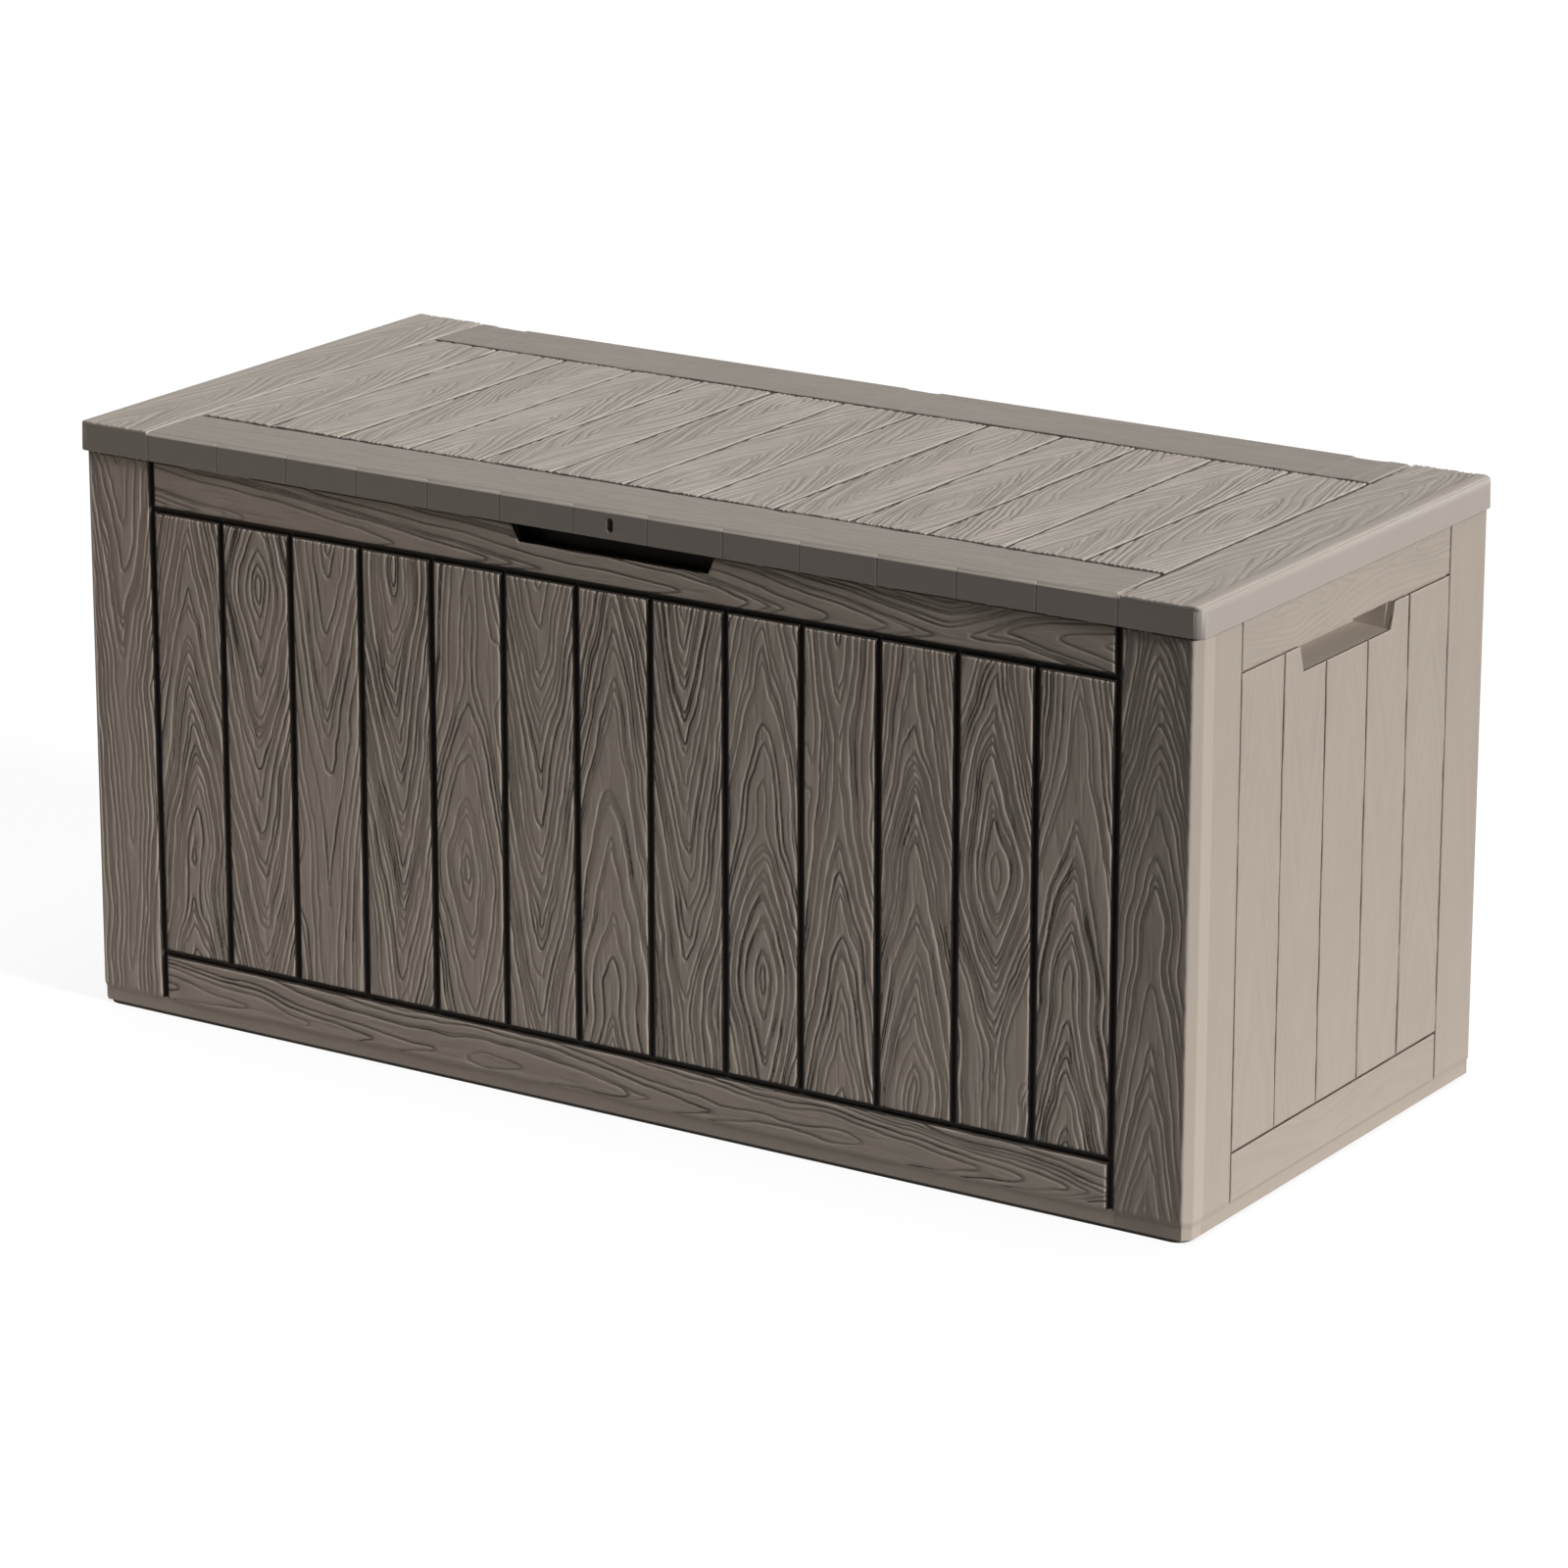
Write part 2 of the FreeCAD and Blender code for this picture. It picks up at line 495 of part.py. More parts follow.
def side_panel(label, turn):
    """A short wall facing -Y before it is turned to its end of the box, with a handle window.

    turn is +1 for the right wall and -1 for the left one; in its own frame the wall lies along X,
    and the box's front is towards -turn * X.
    """
    body = new_body(label)
    face = "-box_length / 2"
    inner = f"({face} + wall_depth)"
    front_end = f"({FRONT} + return_length + joint_gap)"
    tongue_end = f"({FRONT_INNER} + fit_gap)"
    rear_end = "(box_depth / 2 - lap_skin - fit_gap)"
    tongue_face = f"({face} + return_skin + fit_gap)"
    flange_end = f"({face} + lap_width - lap_play)"
    flange_face = "(box_depth / 2 - wall_depth)"
    outline = new_sketch(body, "XY_Plane", "wall_foot")
    polygon(outline, [(f"{turn} * {x}", y) for x, y in (
        (front_end, face), (rear_end, face), (rear_end, flange_end),
        (flange_face, flange_end), (flange_face, inner),
        (tongue_end, inner), (tongue_end, tongue_face), (front_end, tongue_face))])
    extrude("Pad", body, outline, "rim_top - wall_foot")

    lip = new_sketch(body, "XY_Plane", "rim_top - rim_thick")
    reach = f"({FRONT_INNER} + rim_lip + fit_gap)"
    rectangle(lip, reach, f"-{reach}", f"{inner} - 1", f"{inner} + rim_lip")
    extrude("Pad", body, lip, "rim_thick")
    board_front(body, PLANKS, "plank_pitch", "plank_count", face, "handle_land")

    window = new_sketch(body, "XZ_Plane", f"-({face})")
    polygon(window, [("-handle_half - handle_splay", "top_groove"), ("-handle_half", "handle_floor"),
                     ("handle_half", "handle_floor"), ("handle_half + handle_splay", "top_groove")])
    extrude("Pocket", body, window, "wall_depth")

    screw_holes(body, "XZ_Plane", f"-{inner}", CUP_PLACES, "wall_depth - 2", back=True)
    screw_holes(body, "XZ_Plane", f"-{inner}", [(f"-{DEEP_REACH}", "tray_screw_height")],
                "wall_depth - skin", back=True, row=DEEP_ROW)
    screw_holes(body, "XZ_Plane", f"-{inner}",
                [(f"{turn} * ({FRONT} + return_length - corner_screw_inset)", "corner_screw_low")],
                "wall_depth", back=True, row=CORNER_ROW)
    screw_holes(body, "YZ_Plane", f"{turn} * {rear_end}", [(f"{face} + lap_screw_inset", "corner_screw_low")],
                f"{rear_end} - {flange_face}", back=turn < 0, row=CORNER_ROW)
    band = new_sketch(body, "YZ_Plane")
    rectangle(band, f"{face} - 1", f"{face} + plinth_inset", "wall_foot - 1", "wall_foot + plinth_rise")
    extrude("Pocket", body, band, "box_depth", middle=True)
    body.Placement = FreeCAD.Placement(
        FreeCAD.Vector(), FreeCAD.Rotation(FreeCAD.Vector(0, 0, 1), 90 * turn))
    return body


def handle_cup(label, turn):
    """Closed cup behind a handle window: a flange on the wall, a drafted well, room for fingers above."""
    body = new_body(label)
    seat = f"({SIDE_INNER} * -1)"
    plate = new_sketch(body, "XZ_Plane", f"-{seat}")
    rim = "(handle_half + handle_splay + cup_flange)"
    rectangle(plate, f"-{rim}", rim, "handle_floor - cup_flange",
              "top_groove + handle_finger_rise + cup_flange")
    extrude("Pad", body, plate, "cup_skin", back=True)
    round_edges(body, "cup_bend", lambda edge: edge.BoundBox.YLength > 2 * max(
        edge.BoundBox.XLength, edge.BoundBox.ZLength))
    for grow, deep, kind in (("cup_skin", "handle_depth - wall_depth + cup_skin", "Pad"),
                             ("0", "handle_depth - wall_depth", "Pocket")):
        well = new_sketch(body, "XZ_Plane", f"-{seat}")
        polygon(well, [
            (f"-handle_half - handle_splay - {grow}", f"top_groove + handle_finger_rise + {grow}"),
            (f"-handle_half - {grow}", f"handle_floor - {grow}"),
            (f"handle_half + {grow}", f"handle_floor - {grow}"),
            (f"handle_half + handle_splay + {grow}", f"top_groove + handle_finger_rise + {grow}")])
        extrude(kind, body, well, deep, back=kind == "Pad", taper="-cup_draft")
    screw_holes(body, "XZ_Plane", f"-{seat}", CUP_PLACES, "cup_skin")
    body.Placement = FreeCAD.Placement(
        FreeCAD.Vector(), FreeCAD.Rotation(FreeCAD.Vector(0, 0, 1), 90 * turn))
    return body


# ---------------------------------------------------------------- lock bracket

def lock_bracket():
    """Bent plate in the finger recess that carries the padlock slot close behind the lid's skirt."""
    body = new_body("lock_bracket")
    plate = f"({FRONT} + lock_stand_off)"
    seat = f"({FRONT} + recess_depth)"
    wing = "(lock_half + lock_wing)"
    shape = [(wing, seat), (wing, f"{seat} - lock_skin"), ("lock_half", f"{seat} - lock_skin"),
             ("lock_half", plate)]
    inside = [("(lock_half - lock_skin)", f"{plate} + lock_skin"), ("(lock_half - lock_skin)", seat)]
    hat = new_sketch(body, "XY_Plane", "lock_foot")
    polygon(hat, shape + [(f"-{x}", y) for x, y in reversed(shape)]
            + [(f"-{x}", y) for x, y in reversed(inside)] + inside)
    extrude("Pad", body, hat, "lock_top - lock_foot")
    low_wings = new_sketch(body, "XZ_Plane", f"-{seat} + lock_skin * 2")
    for sign in (-1, 1):
        rectangle(low_wings, f"{sign} * lock_half", f"{sign} * ({wing} + 1)", "rim_top - 1", "lock_top + 1")
    extrude("Pocket", body, low_wings, "lock_skin * 3")
    slot = new_sketch(body, "XZ_Plane", f"-({FRONT})")
    upright_slot(slot, ("0", "padlock_height"), "padlock_width", "padlock_length")
    extrude("Pocket", body, slot, "lock_stand_off + lock_skin * 2")
    screw_holes(body, "XZ_Plane", f"-{seat} + lock_skin", LOCK_PLACES, "lock_skin")
    return body


# ---------------------------------------------------------------- lid

def lid_shell():
    """Pan-shaped lid: boards between two rails and two end boards, skirt, rest rib, rib grid, hinge ears."""
    body = new_body("lid_shell")
    outline = new_sketch(body, "XY_Plane", SKIRT_FOOT)
    rectangle(outline, f"-{LID_SIDE}", LID_SIDE, LID_FRONT, f"-{LID_FRONT}")
    extrude("Pad", body, outline, f"{LID_TOP} - {SKIRT_FOOT}")
    lean_walls(body, "skirt_draft")
    round_edges(body, "lid_corner", lambda edge: edge.BoundBox.ZLength > 20)
    ease_lid(body)

    room = new_sketch(body, "XY_Plane", SKIRT_FOOT)
    rectangle(room, f"-{LID_SIDE} + skirt_skin", f"{LID_SIDE} - skirt_skin", f"{LID_FRONT} + skirt_skin",
              f"-{LID_FRONT} - skirt_skin")
    extrude("Pocket", body, room, "skirt_cover + rest_gap + lid_rib", back=True)

    rest = new_sketch(body, "XY_Plane", LID_FLOOR)
    for half in ("rib_skin / 2", "-rib_skin / 2"):
        rectangle(rest, f"-{SIDE} + wall_depth / 2 - {half}", f"{SIDE} - wall_depth / 2 + {half}",
                  f"{FRONT} + wall_depth / 2 - {half}", f"-({FRONT}) - wall_depth / 2 + {half}")
    extrude("Pad", body, rest, "lid_rib + 0.5")

    grid_foot = f"{LID_FLOOR} - grid_drop"
    bar = new_sketch(body, "XY_Plane", grid_foot)
    rectangle(bar, "-grid_length / 2 - rib_skin / 2", "-grid_length / 2 + rib_skin / 2",
              "-grid_depth / 2", "grid_depth / 2")
    cross = extrude("Pad", body, bar, "lid_rib + grid_drop + 0.5")
    repeat(body, bar, [cross], "grid_length / grid_cells_long", "grid_cells_long + 1")
    beam = new_sketch(body, "XY_Plane", grid_foot)
    rectangle(beam, "-grid_length / 2 - rib_skin / 2", "grid_length / 2 + rib_skin / 2",
              "-grid_depth / 2 - rib_skin / 2", "-grid_depth / 2 + rib_skin / 2")
    long_rib = extrude("Pad", body, beam, "lid_rib + grid_drop + 0.5")
    repeat(body, beam, [long_rib], "grid_depth / grid_cells_deep", "grid_cells_deep + 1", axis="V_Axis")

    fingers = new_sketch(body, "XY_Plane", LID_FLOOR)
    rectangle(fingers, "-rest_break", "rest_break", f"{LID_FRONT} + skirt_skin", f"{FRONT} + wall_depth + 2")
    extrude("Pocket", body, fingers, "lid_rib", back=True)

    front_end = f"({LID_FRONT} + lid_front_rail)"
    rear_end = f"(-{LID_FRONT} - lid_rear_rail)"
    section = [("(groove_width / 2)", LID_TOP), ("(lid_groove_floor / 2)", f"{LID_TOP} - lid_groove_depth")]
    section += [(f"-{u}", v) for u, v in reversed(section)]
    between = new_sketch(body, "XZ_Plane", f"-{front_end}")
    polygon(between, [(f"{u} - {FIELD} + board_pitch", v) for u, v in section])
    gap = extrude("Pocket", body, between, f"{rear_end} - {front_end}")
    repeat(body, between, [gap], "board_pitch", "board_count - 1")
    full = new_sketch(body, "XZ_Plane")
    for sign in (-1, 1):
        polygon(full, [(f"{u} + {sign} * {FIELD}", v) for u, v in section])
    extrude("Pocket", body, full, "2 * box_depth", middle=True)
    rails = new_sketch(body, "YZ_Plane")
    for place in (front_end, rear_end):
        polygon(rails, [(f"{u} + {place}", v) for u, v in section])
    extrude("Pocket", body, rails, f"2 * {FIELD}", middle=True)

    slot = new_sketch(body, "XZ_Plane", f"-{LID_FRONT} + 1")
    upright_slot(slot, ("0", "padlock_height"), "padlock_width", "padlock_length")
    extrude("Pocket", body, slot, "skirt_skin + 2")

    notches = new_sketch(body, "XY_Plane", SKIRT_FOOT + " - 1")
    for step in (-1, 0, 1):
        rectangle(notches, f"{step} * hinge_pitch - notch_length / 2",
                  f"{step} * hinge_pitch + notch_length / 2",
                  f"-{LID_FRONT} - notch_depth", f"-{LID_FRONT} + 1")
    extrude("Pocket", body, notches, f"{LID_TOP} - {SKIRT_FOOT} + 2", back=True)
    hinge_ears(body)
    return body


def ease_lid(body):
    """Takes the top edges off the lid: a flat bevel along its front and back, a round over each end."""
    lean = f"({LID_TOP} - {SKIRT_FOOT}) * tan(skirt_draft * 1 deg)"
    bevels = new_sketch(body, "YZ_Plane")
    for sign in (-1, 1):
        polygon(bevels, [(f"{sign} * (-{LID_FRONT} - {lean} - lid_edge)", LID_TOP),
                         (f"{sign} * (-{LID_FRONT} + lid_edge)", LID_TOP),
                         (f"{sign} * (-{LID_FRONT} - {lean})", f"{LID_TOP} - lid_edge")])
    extrude("Pocket", body, bevels, f"2 * {LID_SIDE} + 10", middle=True)
    rounds = new_sketch(body, "XZ_Plane")
    for sign in (-1, 1):
        side = f"({LID_SIDE} - {lean})"
        quarter_waste(rounds, sign, side, LID_TOP, "lid_end_round")
    extrude("Pocket", body, rounds, "2 * box_depth", middle=True)


def hinge_ears(body):
    """Two ears at each hinge: a gusset down the rear skirt, a barrel, and a toe that stops the lid.

    The toe is the place on the ear that meets the rear wall once the lid has turned by lid_opens.
    """
    out = "(hinge_stand_off - stop_gap)"
    toe = (f"{HINGE_BACK} - {out} * cos(lid_opens * 1 deg) + stop_drop * sin(lid_opens * 1 deg)",
           f"hinge_height - {out} * sin(lid_opens * 1 deg) - stop_drop * cos(lid_opens * 1 deg)")
    skirt = f"(-{LID_FRONT} - skirt_skin / 2)"
    offset = "(knuckle_length / 2 + knuckle_gap + ear_length / 2)"
    features = []
    for sign in (-1, 1):
        place = f"-hinge_pitch + {sign} * {offset}"
        gusset = new_sketch(body, "YZ_Plane", place)
        polygon(gusset, [(skirt, SKIRT_FOOT), (HINGE_BACK, "hinge_height"), toe,
                         (f"{HINGE_BACK} + barrel_radius * 0.95", "hinge_height + barrel_radius * 0.3"),
                         (f"{skirt} + skirt_skin", "hinge_height + ear_rise"),
                         (skirt, "hinge_height + ear_rise")])
        features.append(extrude("Pad", body, gusset, "ear_length", middle=True))
        round_end = new_sketch(body, "YZ_Plane", place)
        circle(round_end, (HINGE_BACK, "hinge_height"), "barrel_radius")
        features.append(extrude("Pad", body, round_end, "ear_length", middle=True))
    across = new_sketch(body, "XY_Plane")
    circle(across, ("0", "0"), "1")
    repeat(body, across, features, "hinge_pitch", "3")
    pin_hole(body, (HINGE_BACK, "hinge_height"))


# ---------------------------------------------------------------- hinge pins and screws

def revolved(label, profile, place):
    """A turned piece about the body's X axis, from points (along, radius), moved to its place."""
    body = new_body(label)
    half = new_sketch(body, "XY_Plane")
    polygon(half, profile)
    turned = body.newObject("PartDesign::Revolution", "turned")
    turned.Profile = half
    turned.ReferenceAxis = (half, ["H_Axis"])
    turned.Angle = 360
    body.Placement.Base = FreeCAD.Vector(*[measure(text) for text in place])
    return body


def hinge_hardware(side, station):
    """A headed pin through one hinge, and the clip that holds its tail."""
    reach = "(knuckle_length / 2 + knuckle_gap + ear_length + clip_gap)"
    place = (station, HINGE_BACK, "hinge_height")
    pin = revolved(f"hinge_pin_{side}", [
        (f"-{reach} - pin_head_length", "0"), (f"-{reach} - pin_head_length", "pin_head"),
        (f"-{reach}", "pin_head"), (f"-{reach}", "pin_radius"),
        (f"{reach} + pin_tail", "pin_radius"), (f"{reach} + pin_tail", "0")], place)
    clip = revolved(f"hinge_clip_{side}", [
        (reach, "clip_bore"), (reach, "clip_radius"), (f"{reach} + clip_length", "clip_radius"),
        (f"{reach} + clip_length", "clip_bore")], place)
    return [pin, clip]


def prism(radius, low, high):
    """A plain round bar drawn with few sides, standing along Z."""
    turns = [(step + 0.5) * 2 * math.pi / SCREW_SIDES for step in range(SCREW_SIDES + 1)]
    rim = [FreeCAD.Vector(radius * math.cos(turn), radius * math.sin(turn), low) for turn in turns]
    return Part.Face(Part.makePolygon(rim)).extrude(FreeCAD.Vector(0, 0, high - low))


def screw(seat, direction, shank):
    """A flat-headed screw: its head sits at the seat, its shank points along the direction."""
    head = prism(measure("screw_head"), -measure("screw_head_height"), 0)
    solid = head.fuse(prism(measure("screw_radius"), 0, shank)).removeSplitter()
    turn = FreeCAD.Rotation(FreeCAD.Vector(), FreeCAD.Vector(0, 0, 1), FreeCAD.Vector(*direction), "ZYX")
    solid.Placement = FreeCAD.Placement(FreeCAD.Vector(*[measure(text) for text in seat]), turn)
    return solid


def screws(label, seats, direction, length):
    """One node for a row of equal screws, each a solid of its own."""
    shank = measure(length)
    group = doc.addObject("Part::Feature", label)
    group.Label = label
    group.Shape = Part.makeCompound([screw(seat, direction, shank) for seat in seats])
    return group


def all_screws():
    """Screws of the corners, the tray, the cups and the lock bracket; every head is inside the box."""
    made = []
    heights = [f"corner_screw_low + {step} * corner_screw_pitch"
               for step in range(SIZES["corner_screw_count"])]
    along, deep = ([f"{reach} * ({2 * step} / ({count} - 1) - 1)" for step in range(SIZES[count])]
                   for reach, count in ((LONG_REACH, "tray_screws_long"), (DEEP_REACH, "tray_screws_deep")))
    lap = "wall_depth - 1.5"
    tray = "tray_skin + fit_gap + wall_depth - skin - 0.5"
    for side, sign in (("left", -1), ("right", 1)):
        wall = f"{sign} * {SIDE_INNER}"
        made.append(screws(f"corner_screws_front_{side}", [
            (wall, f"{FRONT} + return_length - corner_screw_inset", height) for height in heights],
            (sign, 0, 0), lap))
        made.append(screws(f"corner_screws_rear_{side}", [
            (f"{sign} * ({SIDE} - lap_screw_inset)", "box_depth / 2 - wall_depth", height)
            for height in heights], (0, 1, 0), lap))
        made.append(screws(f"tray_screws_{side}", [
            (f"{sign} * ({SIDE_INNER} - fit_gap - tray_skin)", y, "tray_screw_height") for y in deep],
            (sign, 0, 0), tray))
        made.append(screws(f"handle_screws_{side}", [
            (f"{sign} * ({SIDE_INNER} - cup_skin)", f"{sign} * ({y})", height) for y, height in CUP_PLACES],
            (sign, 0, 0), "cup_skin + wall_depth - 2.5"))
    for side, sign in (("front", -1), ("rear", 1)):
        made.append(screws(f"tray_screws_{side}", [
            (x, f"{sign} * (box_depth / 2 - wall_depth - fit_gap - tray_skin)", "tray_screw_height")
            for x in along], (0, sign, 0), tray))
    made.append(screws("lock_screws", [
        (x, f"{FRONT} + recess_depth - lock_skin", height) for x, height in LOCK_PLACES],
        (0, 1, 0), "lock_skin + skin + 1"))
    return made


# ---------------------------------------------------------------- build, check and write

pieces = [base_tray(), front_panel(), rear_panel(), lid_shell(), lock_bracket()]
for name, sense in (("left", -1), ("right", 1)):
    pieces.append(side_panel(f"{name}_side_panel", sense))
    pieces.append(handle_cup(f"handle_cup_{name}", sense))
for name, station in (("left", "-hinge_pitch"), ("centre", "0"), ("right", "hinge_pitch")):
    pieces += hinge_hardware(name, station)
pieces += all_screws()
doc.recompute()

for thing in doc.Objects:
    if "Invalid" in thing.State or "Error" in thing.State:
        raise SystemExit(f"{thing.Name} of {thing.getParentGroup()} failed: {thing.State}")
for piece in pieces:
    if piece.Shape.isNull() or not piece.Shape.isValid() or not piece.Shape.Solids:
        raise SystemExit(f"{piece.Label} has no valid shape")

os.makedirs("parts", exist_ok=True)
for piece in pieces:
    piece.Shape.exportStep(f"parts/{piece.Label}.step")
    box = piece.Shape.BoundBox
    spans = " ".join(f"{low:8.1f}{high:8.1f}" for low, high in (
        (box.XMin, box.XMax), (box.YMin, box.YMax), (box.ZMin, box.ZMax)))
    print(f"{piece.Label:28s} {len(piece.Shape.Solids):2d} {piece.Shape.Volume / 1000:8.1f} cm3 {spans}")
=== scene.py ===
import math

import bmesh
import bpy
import numpy as np
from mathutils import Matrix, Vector


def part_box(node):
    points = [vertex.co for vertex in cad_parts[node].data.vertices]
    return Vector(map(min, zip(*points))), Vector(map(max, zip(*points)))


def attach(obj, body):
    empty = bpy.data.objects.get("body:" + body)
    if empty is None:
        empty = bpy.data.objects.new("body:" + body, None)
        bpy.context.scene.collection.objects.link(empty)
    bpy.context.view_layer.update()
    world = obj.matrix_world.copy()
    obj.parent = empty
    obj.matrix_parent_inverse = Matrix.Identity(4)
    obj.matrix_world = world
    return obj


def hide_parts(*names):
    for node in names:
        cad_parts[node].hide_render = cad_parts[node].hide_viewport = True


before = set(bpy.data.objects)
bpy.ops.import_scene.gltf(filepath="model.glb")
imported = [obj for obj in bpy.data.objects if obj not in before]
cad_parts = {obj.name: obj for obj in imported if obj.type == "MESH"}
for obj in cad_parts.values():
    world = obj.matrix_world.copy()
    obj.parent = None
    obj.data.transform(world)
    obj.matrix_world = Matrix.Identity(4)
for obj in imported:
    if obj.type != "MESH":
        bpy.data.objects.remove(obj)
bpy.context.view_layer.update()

# ---------------------------------------------------------------- camera
# A long lens a good way off, at standing height, looking at the box's front right corner.

focal_length, film_width = 147.7, 36
camera_place, camera_turn = (3.0671, -4.7114, 1.9690), (72.95, -0.06, 32.99)


def placed(name, data):
    """A new object with this data, put into the scene."""
    made = bpy.data.objects.new(name, data)
    bpy.context.collection.objects.link(made)
    return made


lens = bpy.data.cameras.new("camera")
lens.lens = focal_length
lens.sensor_width = film_width
camera = placed("camera", lens)
camera.location = camera_place
camera.rotation_euler = [math.radians(angle) for angle in camera_turn]
bpy.context.scene.camera = camera
bpy.context.scene.view_settings.view_transform = "Standard"

# ---------------------------------------------------------------- studio
# A white floor, a key lamp low on the right that lights the end wall and rakes along the
# front, a softer one overhead, weak ones behind and on the left, a small warm panel near the
# front left corner, and a faint even light from everywhere else.

fill_level = 0.025
key_level, key_way, key_spread = 2.95, (0.85, -0.065, 0.30), 8
top_level, top_way, top_spread = 1.65, (0, 0, 1), 50
back_level, back_way, back_spread = 0.75, (0.18, 0.95, 0.12), 30
left_level, left_way, left_spread = 0.45, (-0.95, 0.12, 0.12), 30
panel_level, panel_size, panel_colour = 2.4, 0.9, (1.0, 0.80, 0.62)
panel_place, panel_aim = Vector((-1.75, -1.35, 0.50)), Vector((-0.4, -0.26, 0.25))
floor_half, floor_seen, floor_glow = 30, 0.2, 0.84
sheet_middle, sheet_near, sheet_far = (-0.2, -0.1, 0), 0.6, 1.7
sheet_pale, sheet_dull = 0.46, 0.09


def material(name):
    """A new material and its nodes and links, with the default surface taken away."""
    made = bpy.data.materials.new(name)
    made.use_nodes = True
    nodes, links = made.node_tree.nodes, made.node_tree.links
    nodes.clear()
    return made, nodes, links


def distant_lamp(name, level, spread, way):
    """A lamp far off in the direction way, as wide as spread degrees."""
    lamp = bpy.data.lights.new(name, "SUN")
    lamp.energy = level
    lamp.angle = math.radians(spread)
    holder = placed(name, lamp)
    aim = Vector(way)
    holder.location = aim * 3
    holder.rotation_euler = aim.to_track_quat("Z", "Y").to_euler()


world = bpy.data.worlds.new("studio")
bpy.context.scene.world = world
world.use_nodes = True
nodes, links = world.node_tree.nodes, world.node_tree.links
nodes.clear()
rays = nodes.new("ShaderNodeLightPath")
seen = nodes.new("ShaderNodeMath")
seen.operation = "MAXIMUM"
links.new(rays.outputs["Is Camera Ray"], seen.inputs[0])
links.new(rays.outputs["Is Transmission Ray"], seen.inputs[1])
even, white = nodes.new("ShaderNodeBackground"), nodes.new("ShaderNodeBackground")
even.inputs["Strength"].default_value = fill_level
even.inputs["Color"].default_value = (1, 1, 1, 1)
white.inputs["Color"].default_value = (1, 1, 1, 1)
white.inputs["Strength"].default_value = 1
choose, sky = nodes.new("ShaderNodeMixShader"), nodes.new("ShaderNodeOutputWorld")
links.new(seen.outputs[0], choose.inputs["Fac"])
links.new(even.outputs[0], choose.inputs[1])
links.new(white.outputs[0], choose.inputs[2])
links.new(choose.outputs[0], sky.inputs["Surface"])

floor_mesh = bpy.data.meshes.new("floor")
bm = bmesh.new()
bmesh.ops.create_grid(bm, x_segments=1, y_segments=1, size=floor_half)
bm.to_mesh(floor_mesh)
bm.free()
floor = placed("floor", floor_mesh)

# The floor is seen as white. What it throws back onto the box is weak, apart from a paler
# patch just around the box.
floor_paint, nodes, links = material("floor_white")
rays = nodes.new("ShaderNodeLightPath")
matt, glow = nodes.new("ShaderNodeBsdfDiffuse"), nodes.new("ShaderNodeEmission")
away = nodes.new("ShaderNodeVectorMath")
away.operation = "LENGTH"
middle = nodes.new("ShaderNodeVectorMath")
middle.operation = "SUBTRACT"
middle.inputs[1].default_value = sheet_middle
links.new(nodes.new("ShaderNodeTexCoord").outputs["Object"], middle.inputs[0])
links.new(middle.outputs[0], away.inputs[0])
sheet, bounce = nodes.new("ShaderNodeMapRange"), nodes.new("ShaderNodeMapRange")
sheet.interpolation_type = "SMOOTHSTEP"
for label, value in (("From Min", sheet_near), ("From Max", sheet_far),
                     ("To Min", sheet_pale), ("To Max", sheet_dull)):
    sheet.inputs[label].default_value = value
links.new(away.outputs["Value"], sheet.inputs["Value"])
links.new(sheet.outputs[0], bounce.inputs["To Min"])
bounce.inputs["To Max"].default_value = floor_seen
links.new(rays.outputs["Is Camera Ray"], bounce.inputs["Value"])
links.new(bounce.outputs[0], matt.inputs["Color"])
lift = nodes.new("ShaderNodeMath")
lift.operation = "MULTIPLY"
lift.inputs[1].default_value = floor_glow
links.new(rays.outputs["Is Camera Ray"], lift.inputs[0])
links.new(lift.outputs[0], glow.inputs["Strength"])
added, out = nodes.new("ShaderNodeAddShader"), nodes.new("ShaderNodeOutputMaterial")
links.new(matt.outputs[0], added.inputs[0])
links.new(glow.outputs[0], added.inputs[1])
links.new(added.outputs[0], out.inputs["Surface"])
floor_mesh.materials.append(floor_paint)

distant_lamp("key", key_level, key_spread, key_way)
distant_lamp("overhead", top_level, top_spread, top_way)
distant_lamp("behind", back_level, back_spread, back_way)
distant_lamp("left", left_level, left_spread, left_way)

panel = bpy.data.lights.new("warm_panel", "AREA")
panel.shape = "SQUARE"
panel.size = panel_size
panel.energy = panel_level
panel.color = panel_colour
panel_holder = placed("warm_panel", panel)
panel_holder.location = panel_place
panel_holder.rotation_euler = (panel_place - panel_aim).to_track_quat("Z", "Y").to_euler()

# ---------------------------------------------------------------- front wall
# One moulding: thirteen upright boards between two posts and two rails, each with the deep
# grain of brushed softwood, above a plain plinth. Warm grey-brown resin coloured right through.

mm = 0.001
resin_colour = (0.445, 0.381, 0.323, 1)
front_y, wall_foot, plinth_top, rail_top = -258.0, 3.3, 17.0, 532.6
field, board_pitch, foot_groove, top_groove = 508.95, 78.3, 62.0, 488.0
groove, groove_deep = 3.0, 4.0
recess_floor, recess_half, recess_slant, recess_back = 517.0, 100.0, 14.0 / 31, 241.5


def group(name, inputs, outputs):
    """An empty node group with its sockets; returns the tree and its end nodes."""
    tree = bpy.data.node_groups.new(name, "ShaderNodeTree")
    for label, kind, value in inputs:
        socket = tree.interface.new_socket(label, in_out="INPUT", socket_type=kind)
        socket.default_value = value
    for label, kind in outputs:
        tree.interface.new_socket(label, in_out="OUTPUT", socket_type=kind)
    return tree, tree.nodes.new("NodeGroupInput"), tree.nodes.new("NodeGroupOutput")


